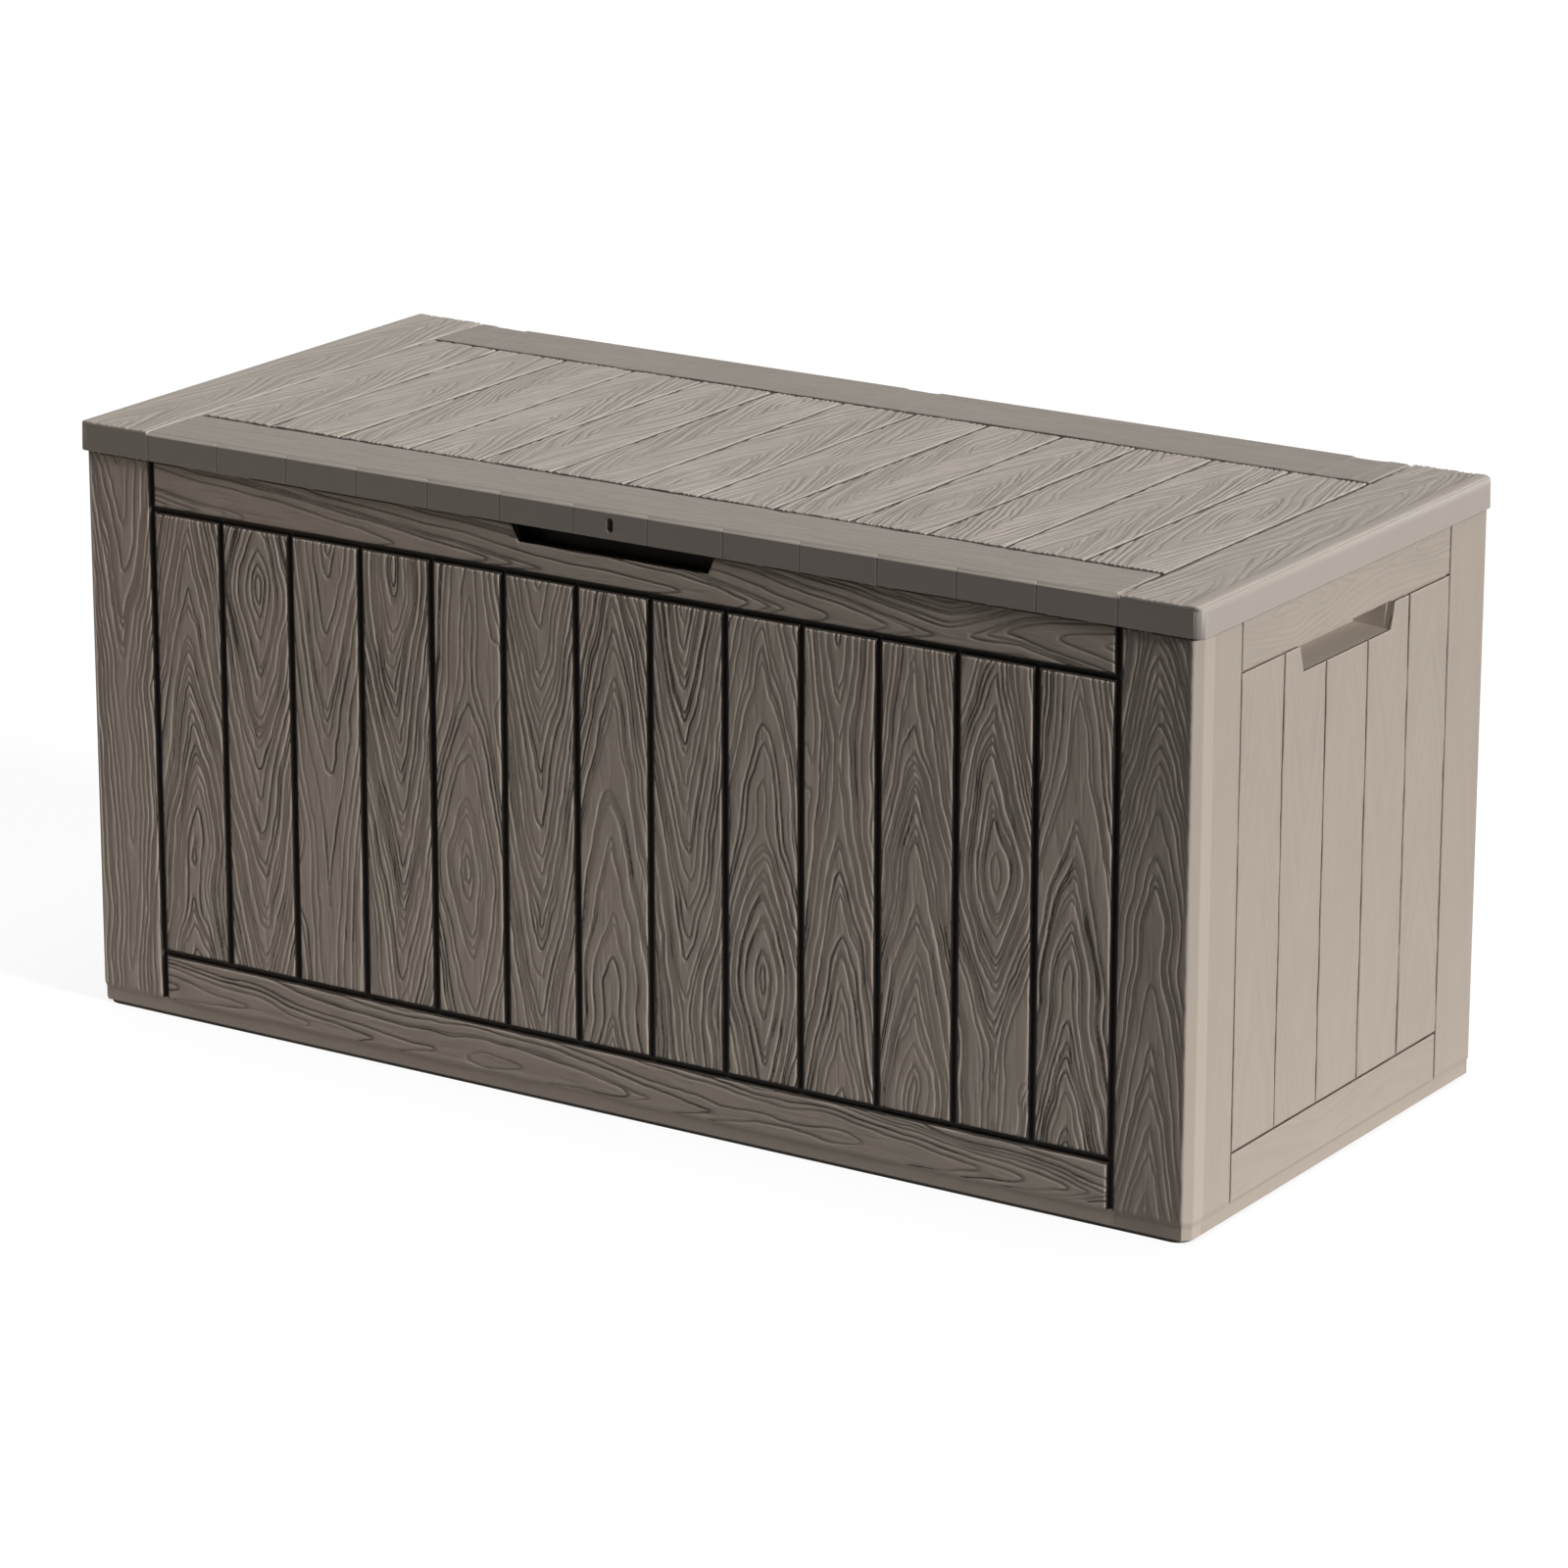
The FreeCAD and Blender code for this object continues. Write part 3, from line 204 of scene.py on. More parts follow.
def sum_of(tree, kind, *values):
    """One math node of the tree; a socket is linked, a number is set."""
    node = tree.nodes.new("ShaderNodeMath")
    node.operation = kind
    for place, value in zip(node.inputs, values):
        if isinstance(value, (int, float)):
            place.default_value = value
        else:
            tree.links.new(value, place)
    return node.outputs[0]


def cloud(tree, scale, detail):
    """Noise over object coordinates, in patches of about 1 / scale metres."""
    at = tree.nodes.new("ShaderNodeTexCoord").outputs["Object"]
    noise = tree.nodes.new("ShaderNodeTexNoise")
    noise.inputs["Scale"].default_value = scale
    noise.inputs["Detail"].default_value = detail
    tree.links.new(at, noise.inputs["Vector"])
    return noise.outputs["Fac"]


# Every colour is a little uneven, and darker where the relief attribute holds painted shade: in the
# carved grain, in the grooves, under overhangs and on the right post's face. A negative value there
# paints a highlight on that post's bevel, and it darkens the lid's rails too.
patch_range, patch_least, relief_dark = 0.10, 0.95, -0.2
rough_range, rough_least = 0.16, 0.48
tone, given, told = group("moulded_tone", [("Colour", "NodeSocketColor", resin_colour)],
                          [("Colour", "NodeSocketColor"), ("Roughness", "NodeSocketFloat"),
                           ("Height", "NodeSocketFloat")])
relief = tone.nodes.new("ShaderNodeAttribute")
relief.attribute_name = "relief"
patchy = sum_of(tone, "MULTIPLY_ADD", cloud(tone, 7, 3), patch_range, patch_least)
relief_shade = sum_of(tone, "MULTIPLY_ADD", relief.outputs["Fac"], relief_dark, 1)
level = sum_of(tone, "MULTIPLY", patchy, relief_shade)
paint = tone.nodes.new("ShaderNodeVectorMath")
paint.operation = "SCALE"
tone.links.new(given.outputs["Colour"], paint.inputs[0])
tone.links.new(level, paint.inputs["Scale"])
tone.links.new(paint.outputs[0], told.inputs["Colour"])
rough = sum_of(tone, "MULTIPLY_ADD", cloud(tone, 60, 2), rough_range, rough_least)
tone.links.new(rough, told.inputs["Roughness"])
tone.links.new(cloud(tone, 1400, 1), told.inputs["Height"])


# Painted shade darkens the grooves of the long walls, but not inside the walls, on the plinth or round
# the hinges.
# It darkens the finger recess too: the deeper in, the darker.
wall_shade, given, told = group("wall_painted_shade", [], [("Shade", "NodeSocketFloat")])
joint_reach, rim_reach = 5.5, 1.5
shade_ends, shade_stops = ((0.01, 1), (1.0, 0.55)), ((0.04, 0.08), (0.45, 0.10), (0.80, 0.22))
rim_dark, deep_dark = 0.25, 0.93


def over(value, limit):
    return sum_of(wall_shade, "GREATER_THAN", value, limit)


def under(value, limit):
    return sum_of(wall_shade, "LESS_THAN", value, limit)


def both(first, second):
    return sum_of(wall_shade, "MULTIPLY", first, second)


def either(first, second):
    return sum_of(wall_shade, "MAXIMUM", first, second)


def size_of(value):
    return sum_of(wall_shade, "ABSOLUTE", value, 0)


def ranged(value, low, high):
    """A Map Range node that turns low to high into 0 to 1."""
    node = wall_shade.nodes.new("ShaderNodeMapRange")
    node.inputs["From Min"].default_value = low
    node.inputs["From Max"].default_value = high
    wall_shade.links.new(value, node.inputs["Value"])
    return node


spot = wall_shade.nodes.new("ShaderNodeTexCoord")
at, facing = wall_shade.nodes.new("ShaderNodeSeparateXYZ"), wall_shade.nodes.new("ShaderNodeSeparateXYZ")
wall_shade.links.new(spot.outputs["Object"], at.inputs[0])
wall_shade.links.new(spot.outputs["Normal"], facing.inputs[0])
aside, y, z = size_of(at.outputs["X"]), at.outputs["Y"], at.outputs["Z"]
outward = both(facing.outputs["Y"], sum_of(wall_shade, "SIGN", y, 0))

depth_shade = wall_shade.nodes.new("ShaderNodeValToRGB")
stops = depth_shade.color_ramp.elements
for stop, (position, shade) in zip(stops, shade_ends):
    stop.position, stop.color = position, (shade, shade, shade, 1)
for position, shade in shade_stops:
    stops.new(position).color = (shade, shade, shade, 1)
wall_depth = ranged(size_of(y), (-front_y - groove_deep - 0.3) * mm, (-front_y + 1) * mm)
wall_shade.links.new(wall_depth.outputs[0], depth_shade.inputs["Fac"])
joint = under(size_of(sum_of(wall_shade, "SUBTRACT", aside, field * mm)), joint_reach * mm)
finger = both(under(aside, (recess_half + 10) * mm), over(z, (recess_floor - rim_reach) * mm))
finger = both(finger, under(y, 0))
shade_zone = either(either(joint, finger), under(z, (top_groove + 5) * mm))
shade_zone = both(both(shade_zone, under(z, (rail_top + 0.6) * mm)), over(z, (plinth_top + 0.2) * mm))
shade_zone = both(shade_zone, under(aside, (field + joint_reach) * mm))
outside = either(over(outward, 0.15), both(over(outward, -0.5), finger))
lost = both(sum_of(wall_shade, "SUBTRACT", 1, depth_shade.outputs["Color"]), both(outside, shade_zone))
groove_shade = sum_of(wall_shade, "SUBTRACT", 1, lost)

above = sum_of(wall_shade, "SUBTRACT", z, recess_floor * mm)
across = sum_of(wall_shade, "SUBTRACT", aside, both(above, recess_slant))
within = both(under(across, (recess_half + rim_reach) * mm), over(above, -rim_reach * mm))
within = both(within, under(y, -recess_back * mm))
inward = ranged(y, (front_y - 0.5) * mm, (front_y + 8) * mm)
inward.interpolation_type = "SMOOTHSTEP"
inward.inputs["To Min"].default_value = rim_dark
inward.inputs["To Max"].default_value = deep_dark
recess_shade = sum_of(wall_shade, "SUBTRACT", 1, both(inward.outputs[0], within))
wall_shade.links.new(both(groove_shade, recess_shade), told.inputs["Shade"])


def textured(nodes, links, surface, height, strength, deep):
    """Roughens a surface by a height of the given depth, and makes it the material's own."""
    bump, out = nodes.new("ShaderNodeBump"), nodes.new("ShaderNodeOutputMaterial")
    bump.inputs["Strength"].default_value = strength
    bump.inputs["Distance"].default_value = deep
    links.new(height, bump.inputs["Height"])
    links.new(bump.outputs["Normal"], surface.inputs["Normal"])
    links.new(surface.outputs[0], out.inputs["Surface"])


def moulded(name, colour, spark=0.12, shade_group=None):
    """Moulded resin: an even colour with faint clouds, and the fine spark texture of a mould.
    A node group of painted shade, if given, says how dark each place is."""
    made, nodes, links = material(name)
    skin = nodes.new("ShaderNodeGroup")
    skin.node_tree = tone
    skin.inputs["Colour"].default_value = colour
    surface = nodes.new("ShaderNodeBsdfPrincipled")
    surface.inputs["Specular IOR Level"].default_value = 0.35
    paint = skin.outputs["Colour"]
    if shade_group:
        shade, darker = nodes.new("ShaderNodeGroup"), nodes.new("ShaderNodeVectorMath")
        shade.node_tree = shade_group
        darker.operation = "SCALE"
        links.new(paint, darker.inputs[0])
        links.new(shade.outputs["Shade"], darker.inputs["Scale"])
        paint = darker.outputs[0]
    links.new(paint, surface.inputs["Base Color"])
    links.new(skin.outputs["Roughness"], surface.inputs["Roughness"])
    textured(nodes, links, surface, skin.outputs["Height"], spark, 0.0003)
    return made


resin = moulded("resin_grey_brown", resin_colour)
grooved_resin = moulded("resin_grooved", resin_colour, shade_group=wall_shade)


def swell(rng, u, v, cell_u, cell_v):
    """A smooth random field from -1 to 1 that changes over cells of the given size."""
    a = (u - u.min()) / cell_u + rng.uniform(0, 1)
    b = (v - v.min()) / cell_v + rng.uniform(0, 1)
    i, j = np.floor(a).astype(int), np.floor(b).astype(int)
    knots = rng.uniform(-1, 1, (i.max() + 2, j.max() + 2))
    s, t = a - i, b - j
    s, t = s * s * (3 - 2 * s), t * t * (3 - 2 * t)
    low = knots[i, j] * (1 - s) + knots[i + 1, j] * s
    high = knots[i, j + 1] * (1 - s) + knots[i + 1, j + 1] * s
    return low * (1 - t) + high * t


def grain(seed, wide, long, rings, ring=2.7, lean=((0, 0),), wander=5.0, tip=2.6, calm=1,
          knots=()):
    """Carved depth, 0 at the face and about 1 in the lines, over a board of wide by long mm.

    The lines are year rings cut at a slant. rings says, as pairs, how far out in the trunk the
    middle of the board is at places along it: where that grows the lines are pointed arches,
    where it shrinks they point the other way, and round its lowest place they close in an eye.
    lean says how far the middle lies from the board's own, at places along it; calm above 1
    draws straighter lines. knots are small eyes anywhere: place across, place along, strength."""
    rng = np.random.default_rng(seed)
    u, v = np.meshgrid(np.arange(0, wide + 1, 0.5), np.arange(0, long + 1, 1.0), indexing="ij")
    middle = (wide / 2 + np.interp(v, *zip(*lean)) + wander * swell(rng, u * 0, v, 10, 120 * calm)
              + 0.8 / calm * swell(rng, u * 0, v, 9, 24))
    blunt = tip * (1 + 0.6 * swell(rng, u * 0, v, 10, 50))
    across = np.hypot(u - middle, blunt) - blunt
    spots = np.arange(-40, long + 42)
    soft = 1.1 * np.convolve(np.interp(spots, *zip(*rings)), np.ones(41) / 41, "same")[40:-40]
    r = across * (0.50 + 0.005 * across) + soft[v.astype(int)]
    for side_place, place, strength in knots:
        r = r - strength * np.exp(-((u - side_place) / 7) ** 2 - ((v - place) / 34) ** 2)
    r = r + (2.0 * swell(rng, u, v, 24, 70 * calm) + 1.0 * swell(rng, u, v, 10, 32 * calm)
             + 0.26 * swell(rng, u, v, 4, 9 * calm))
    count = 179
    gaps = (rng.gamma(1.9, 0.46, count) + 0.22) * ring
    edges = np.append(r.min() - 99, r.min() + 0.9 + np.cumsum(gaps) - gaps[0])
    du, dv = np.gradient(r, 0.5, 1.0)
    slope = np.hypot(du, dv)
    steep = np.maximum(slope, 0.10)
    k = np.clip(np.searchsorted(edges, r), 1, count)
    below, above = (r - edges[k - 1]) / steep, (edges[k] - r) / steep
    line = np.where(below < above, k - 1, k)
    strength = rng.uniform(0.55, 1.1, count + 2)[line]
    fade = np.clip(0.95 + 0.45 * swell(rng, u, v, 16, 70), 0.35, 1)
    width = 1.8 + 0.4 * swell(rng, u, v, 12, 45)
    cut = np.clip(1 - np.minimum(below, above) / width, 0, 1) ** 1.25 * strength * fade
    cut = cut * np.clip((slope - 0.03) / 0.05, 0, 1)
    fine = np.clip(swell(rng, u, v, 1.6, 24) + 0.5 * swell(rng, u, v, 2.4, 12), 0, 1.4)
    return cut + 0.13 * fine + 0.12 * swell(rng, u, v, 10, 30) + 0.10


def read(depths, u, v):
    """The carved depth at any place of the board, in between the worked-out points."""
    a = np.clip(u / 0.5, 0, depths.shape[0] - 1.001)
    b = np.clip(v / 1.0, 0, depths.shape[1] - 1.001)
    i, j = a.astype(int), b.astype(int)
    s, t = a - i, b - j
    low = depths[i, j] * (1 - s) + depths[i + 1, j] * s
    high = depths[i, j + 1] * (1 - s) + depths[i + 1, j + 1] * s
    return low * (1 - t) + high * t


def stations(length, step, breaks=()):
    """Places from 0 to length, close together at both ends where the edge turns over."""
    near = [0, 0.22, 0.6, 1.1, 1.8]
    count = max(2, round((length - 2 * near[-1]) / step))
    inner = np.linspace(near[-1], length - near[-1], count + 1)
    places = np.concatenate([near[:-1], inner, length - np.array(near[:-1])[::-1]])
    if breaks:
        places = places[[np.abs(place - np.array(breaks)).min() > step / 3 for place in places]]
        places = np.sort(np.concatenate([places, breaks]))
    return places


def shares(length, step):
    """Stations over a length, as shares of it from 0 to 1."""
    return stations(length, step) / length


# How much painted shade darkens the floor of a groove, and which resin and slot the sheets of each
# body have.
groove_floor_shade = 4.0
looks = {"box": (resin, "resin")}


def slab(name, body, columns, low, high, rows, skin, place, root=1.6, shade=groove_floor_shade):
    """A closed sheet with a carved face. Columns run across it, and rows, from 0 to 1, go from
    low to high of each column. skin gives height and carved depth, place puts them on the box,
    and shade is how much painted shade darkens the sheet at its root, down in the groove."""
    bm = bmesh.new()
    wide, tall = len(columns) - 1, len(rows) - 1
    bmesh.ops.create_grid(bm, x_segments=wide, y_segments=tall, size=1)
    rim = [edge for edge in bm.edges if edge.is_boundary]
    down = bmesh.ops.extrude_edge_only(bm, edges=rim)["geom"]
    lower = [part for part in down if isinstance(part, bmesh.types.BMVert)]
    bmesh.ops.translate(bm, vec=(0, 0, -1), verts=lower)
    ring = [part for part in down if isinstance(part, bmesh.types.BMEdge)
            and all(vert.co.z < -0.5 for vert in part.verts)]
    bmesh.ops.holes_fill(bm, edges=ring, sides=0)
    mesh = bpy.data.meshes.new(name)
    bm.to_mesh(mesh)
    bm.free()
    spots = np.empty(len(mesh.vertices) * 3, np.float32)
    mesh.vertices.foreach_get("co", spots)
    spots = spots.reshape(-1, 3)
    i = np.rint((spots[:, 0] + 1) / 2 * wide).astype(int)
    j = np.rint((spots[:, 1] + 1) / 2 * tall).astype(int)
    low, high = np.broadcast_to(low, wide + 1), np.broadcast_to(high, wide + 1)
    p, q = np.asarray(columns)[i], low[i] + np.asarray(rows)[j] * (high - low)[i]
    height, carved = skin(p, q)
    back = spots[:, 2] < -0.5
    height = np.where(back, -root, height)
    at = np.stack(np.broadcast_arrays(*place(p, q, height)), 1) * mm
    mesh.vertices.foreach_set("co", at.astype(np.float32).ravel())
    foot_shade = shade(p, q) if callable(shade) else shade
    mesh.attributes.new("relief", "FLOAT", "POINT").data.foreach_set(
        "value", np.where(back, foot_shade, carved).astype(np.float32))
    corners = np.empty(len(mesh.polygons), np.int32)
    mesh.polygons.foreach_get("loop_total", corners)
    mesh.polygons.foreach_set("use_smooth", corners == 4)
    paint, slot = looks[body]
    mesh.materials.append(paint)
    mesh.update()
    bm = bmesh.new()
    bm.from_mesh(mesh)
    bmesh.ops.recalc_face_normals(bm, faces=bm.faces)
    bm.to_mesh(mesh)
    bm.free()
    made = placed(name, mesh)
    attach(made, body)


def edge_gap(p, q, *sides):
    """How far each place is from the nearest of the sides, given by their end points."""
    gap = np.full(p.shape, 99.0)
    for (a, b), (c, d) in sides:
        t = np.clip(((p - a) * (c - a) + (q - b) * (d - b)) / ((c - a) ** 2 + (d - b) ** 2), 0, 1)
        gap = np.minimum(gap, np.hypot(p - a - t * (c - a), q - b - t * (d - b)))
    return gap


def sides_of(*corners, closed=True):
    """The sides of an outline, as pairs of corners."""
    return list(zip(corners, corners[1:] + corners[:1] if closed else corners[1:]))


def rectangle(near, far, low, high, with_foot=True):
    """The sides of a rectangle, with or without the one along its foot."""
    return sides_of((near, low), (near, high), (far, high), (far, low), closed=with_foot)


def turned_over(gap, radius=1.6):
    """How far the face has dropped at a distance inside its outline, where the edge is rounded."""
    short = np.clip(radius - gap, 0, radius)
    return radius - np.sqrt(radius ** 2 - short ** 2)


def ease(t):
    """0 below 0, 1 above 1, and a smooth rise between."""
    t = np.clip(t, 0, 1)
    return t * t * (3 - 2 * t)


# Grooves are given by their middle and half width. The carved faces stand proud of the wall,
# and lap says how far they reach into a groove.
proud, carve, lap = 1.5, 1.85, -0.8
board_half = board_pitch / 2 - groove + lap
board_foot, board_head = foot_groove + groove - lap, top_groove - groove + lap


plinth_sunk = 0.75


def plinth(z, height, carved):
    """Sinks a carved face into the plain band along the foot, where the grain dies away."""
    above = ease((z - plinth_top + 1.6) / 3.2)
    carved = carved * ease((z - plinth_top - 1) / 9)
    return -plinth_sunk + (height + plinth_sunk) * above, carved


def board_skin(depths, wide, long):
    """Height and carved depth over a plain board whose edges are rounded all round."""
    outline = rectangle(0, wide, 0, long)

    def skin(p, q):
        carved = read(depths, p, q)
        return proud - carve * carved - turned_over(edge_gap(p, q, *outline)), carved
    return skin


front_figures = [
    [(-50, 0), (60, 17), (120, 14), (300, 42), (500, 66)],
    [(-50, 62), (365, 0), (500, 24)],
    [(-50, 40), (150, 34), (470, 0)],
    [(-50, 56), (400, 0), (480, 7)],
    [(-50, 26), (140, 0), (300, 28), (480, 34)],
    [(-50, 62), (430, 0), (480, 4)],
    [(-50, 0), (40, 13), (62, 10), (480, 68)],
    [(-50, 48), (60, 48), (430, 0), (480, 3)],
    [(-50, 22), (92, 0), (232, 28), (252, 25), (480, 58)],
    [(-50, 0), (240, 38), (330, 40), (480, 30)],
    [(-50, 9), (20, 0), (200, 30), (216, 27), (330, 48), (480, 55)],
    [(-50, 36), (80, 34), (230, 0), (480, 38)],
    [(-50, 0), (130, 26), (152, 23), (330, 52), (480, 60)],
]
wide, long = 2 * board_half, board_head - board_foot
edge_knots = {2: (0, 90, 10), 4: (wide, 330, 11), 9: (0, 300, 10), 11: (wide, 78, 10)}
front_rings = (2.4, 2.4, 3.9, 2.4, 3.8, 2.8, 2.5, 2.6, 2.5, 3.1, 2.5, 2.5, 2.6)
for number, figure in enumerate(front_figures):
    left = (number - 6) * board_pitch - board_half
    depths = grain(100 + number, wide, long, figure, ring=front_rings[number],
                   knots=[edge_knots[number]] if number in edge_knots else ())
    slab(f"front_board_{number + 1:02d}", "box", stations(wide, 0.78), 0, long, shares(long, 1.9),
         board_skin(depths, wide, long), lambda p, q, h: (left + p, front_y - h, board_foot + q))

# The top rail, notched where the finger recess opens under the lid, and the bottom rail, which
# runs down into the plinth.
rail_half, rail_shade = field - groove + lap, 2.6
rail_foot = top_groove + groove - lap
length = 2 * rail_half
recess_top = recess_half + recess_slant * (rail_top - recess_floor)
slant = np.linspace(recess_half, recess_top, 8)
rise = recess_floor + (slant - recess_half) / recess_slant
rail_line = [-rail_half, *-slant[::-1], *slant, rail_half]
rail_crest = [rail_top, *rise[::-1], *rise, rail_top]
columns = stations(length, 2.4, [place + rail_half for place in rail_line[1:-1]]) - rail_half
depths = grain(131, 60, length, [(-50, 0), (420, 30), (560, 34), (850, 62), (1100, 36)],
               ring=3.9, lean=((0, -27), (850, -25), (920, -10)), wander=3, calm=3)
outline = sides_of(*zip(rail_line, rail_crest), (rail_half, rail_foot), (-rail_half, rail_foot))


def skirt_shadow(q):
    """Painted shadow along the top of a wall, in the gap under the lid's skirt."""
    return 3.0 * ease((q - rail_top + 1.6) / 1.6)


def top_rail_skin(p, q):
    carved = read(depths, q - rail_foot, p + rail_half)
    height = proud - carve * carved - turned_over(edge_gap(p, q, *outline))
    return height, carved * rail_shade + skirt_shadow(q)


def front_place(p, q, h):
    return p, front_y - h, q


slab("front_top_rail", "box", columns, rail_foot, np.interp(columns, rail_line, rail_crest),
     shares(rail_top - rail_foot, 0.9), top_rail_skin, front_place)

rail_head = foot_groove - groove + lap
foot_depths = grain(137, 60, length, [(-50, 0), (330, 20), (352, 15), (700, 38), (722, 33),
                                      (1090, 60)], ring=3.8, lean=((0, -4),))
foot_outline = rectangle(-rail_half, rail_half, wall_foot, rail_head, with_foot=False)


def foot_rail_skin(p, q):
    carved = read(foot_depths, q, p + rail_half)
    height = proud - carve * carved - turned_over(edge_gap(p, q, *foot_outline))
    return plinth(q, height, carved * rail_shade)


slab("front_foot_rail", "box", stations(length, 2.4) - rail_half, wall_foot, rail_head,
     shares(rail_head - wall_foot, 0.9), foot_rail_skin, front_place)

# The posts turn the corner: a carved front, a flat bevel and a smooth return on the end wall.
bevel, return_end, side_x = 7.0, 23.2, 586.0
end_proud, post_face_shade, bevel_highlight = 0.9, 0.9, -0.6
post_line = np.array([(field + groove - lap, front_y), (side_x - bevel, front_y),
                      (side_x, front_y + bevel), (side_x, front_y + return_end - lap)])


def round_path(line, normals, soft=0.5):
    """Lays columns along a bent line. Returns how far along it the corners are, where it turns,
    and the function that places a point at p along the line and h out from it."""
    run = np.concatenate([[0], np.cumsum(np.hypot(*np.diff(line, axis=0).T))])
    turns = np.ravel([(corner - soft, corner + soft) for corner in run[1:-1]])
    turns = np.concatenate([[run[0]], turns, [run[-1]]])
    faces = np.repeat(normals, 2, axis=0)

    def at(p, h):
        x, y = np.interp(p, run, line[:, 0]), np.interp(p, run, line[:, 1])
        nx, ny = np.interp(p, turns, faces[:, 0]), np.interp(p, turns, faces[:, 1])
        size = np.hypot(nx, ny)
        return x + nx / size * h, y + ny / size * h
    return run, turns, at


slope = math.sqrt(0.5)
run, turns, at = round_path(post_line, [(0, -1), (slope, -slope), (1, 0)])
for side, seed, rings in ((-1, 151, [(-50, 34), (330, 28), (600, 0)]),
                          (1, 152, [(-60, 0), (250, 36), (272, 32), (600, 80)])):
    post_depths = grain(seed, run[1], rail_top, rings)
    ends = sides_of((0, wall_foot), (0, rail_top), (run[-1], rail_top), closed=False)
    joint = sides_of((run[-1], wall_foot), (run[-1], rail_top), closed=False)

    def post_skin(p, q):
        carved = read(post_depths, p, q) * ease((run[1] - 0.4 - p) / 1.5)
        drop = turned_over(edge_gap(p, q, *ends)) + turned_over(edge_gap(p, q, *joint), 0.5)
        face = np.interp(p, [run[1], run[2]], [proud, end_proud])
        height, shade = plinth(q, face - carve * carved - np.minimum(drop, 1.6), carved)
        # On the right post, painted shade darkens the carved face and a painted highlight lightens the
        # bevel.
        if side > 0:
            shade = shade + np.interp(p, [run[1] - 1, run[1] + 0.5], [post_face_shade, bevel_highlight])
        return height, shade + skirt_shadow(q)

    def post_place(p, q, h):
        x, y = at(p, h)
        return side * x, y, q

    slab(f"front_post_{'left' if side < 0 else 'right'}", "box",
         stations(run[-1], 0.9, list(turns[1:-1])), wall_foot, rail_top,
         shares(rail_top - wall_foot, 2.4), post_skin, post_place, root=1.0)

# ---------------------------------------------------------------- end walls
# Mouldings like the front, five planks between two posts, with a carrying handle's window cut
# under the top rail. Their grain is much shallower than the front's.

plank_pitch, plank_field = 75.0, 187.5
end_carve, end_shade, end_radius, lap = 0.30, 0.4, 0.9, 1.8
rail_deeper, post_calmer = 1.6, 0.6
window_floor, window_half, window_splay = 463.0, 79.0, 7.0
plank_half = plank_pitch / 2 - groove + lap
plank_foot, plank_head = foot_groove + groove - lap, top_groove - groove + lap
end_rail_foot, end_rail_head = top_groove + groove - lap, foot_groove - groove + lap
window = [-window_half - window_splay, -window_half, window_half, window_half + window_splay]
lip, crest = [-999, *window, 999], [plank_head] * 2 + [window_floor] * 2 + [plank_head] * 2
wide, long = 2 * plank_half, plank_head - plank_foot
plank_figures = [[(-50, 0), (480, 60)], [(-50, 60), (480, 6)], [(-50, 28), (230, 0), (480, 34)],
                 [(-50, 50), (420, 0), (480, 6)], [(-50, 6), (40, 0), (480, 62)]]
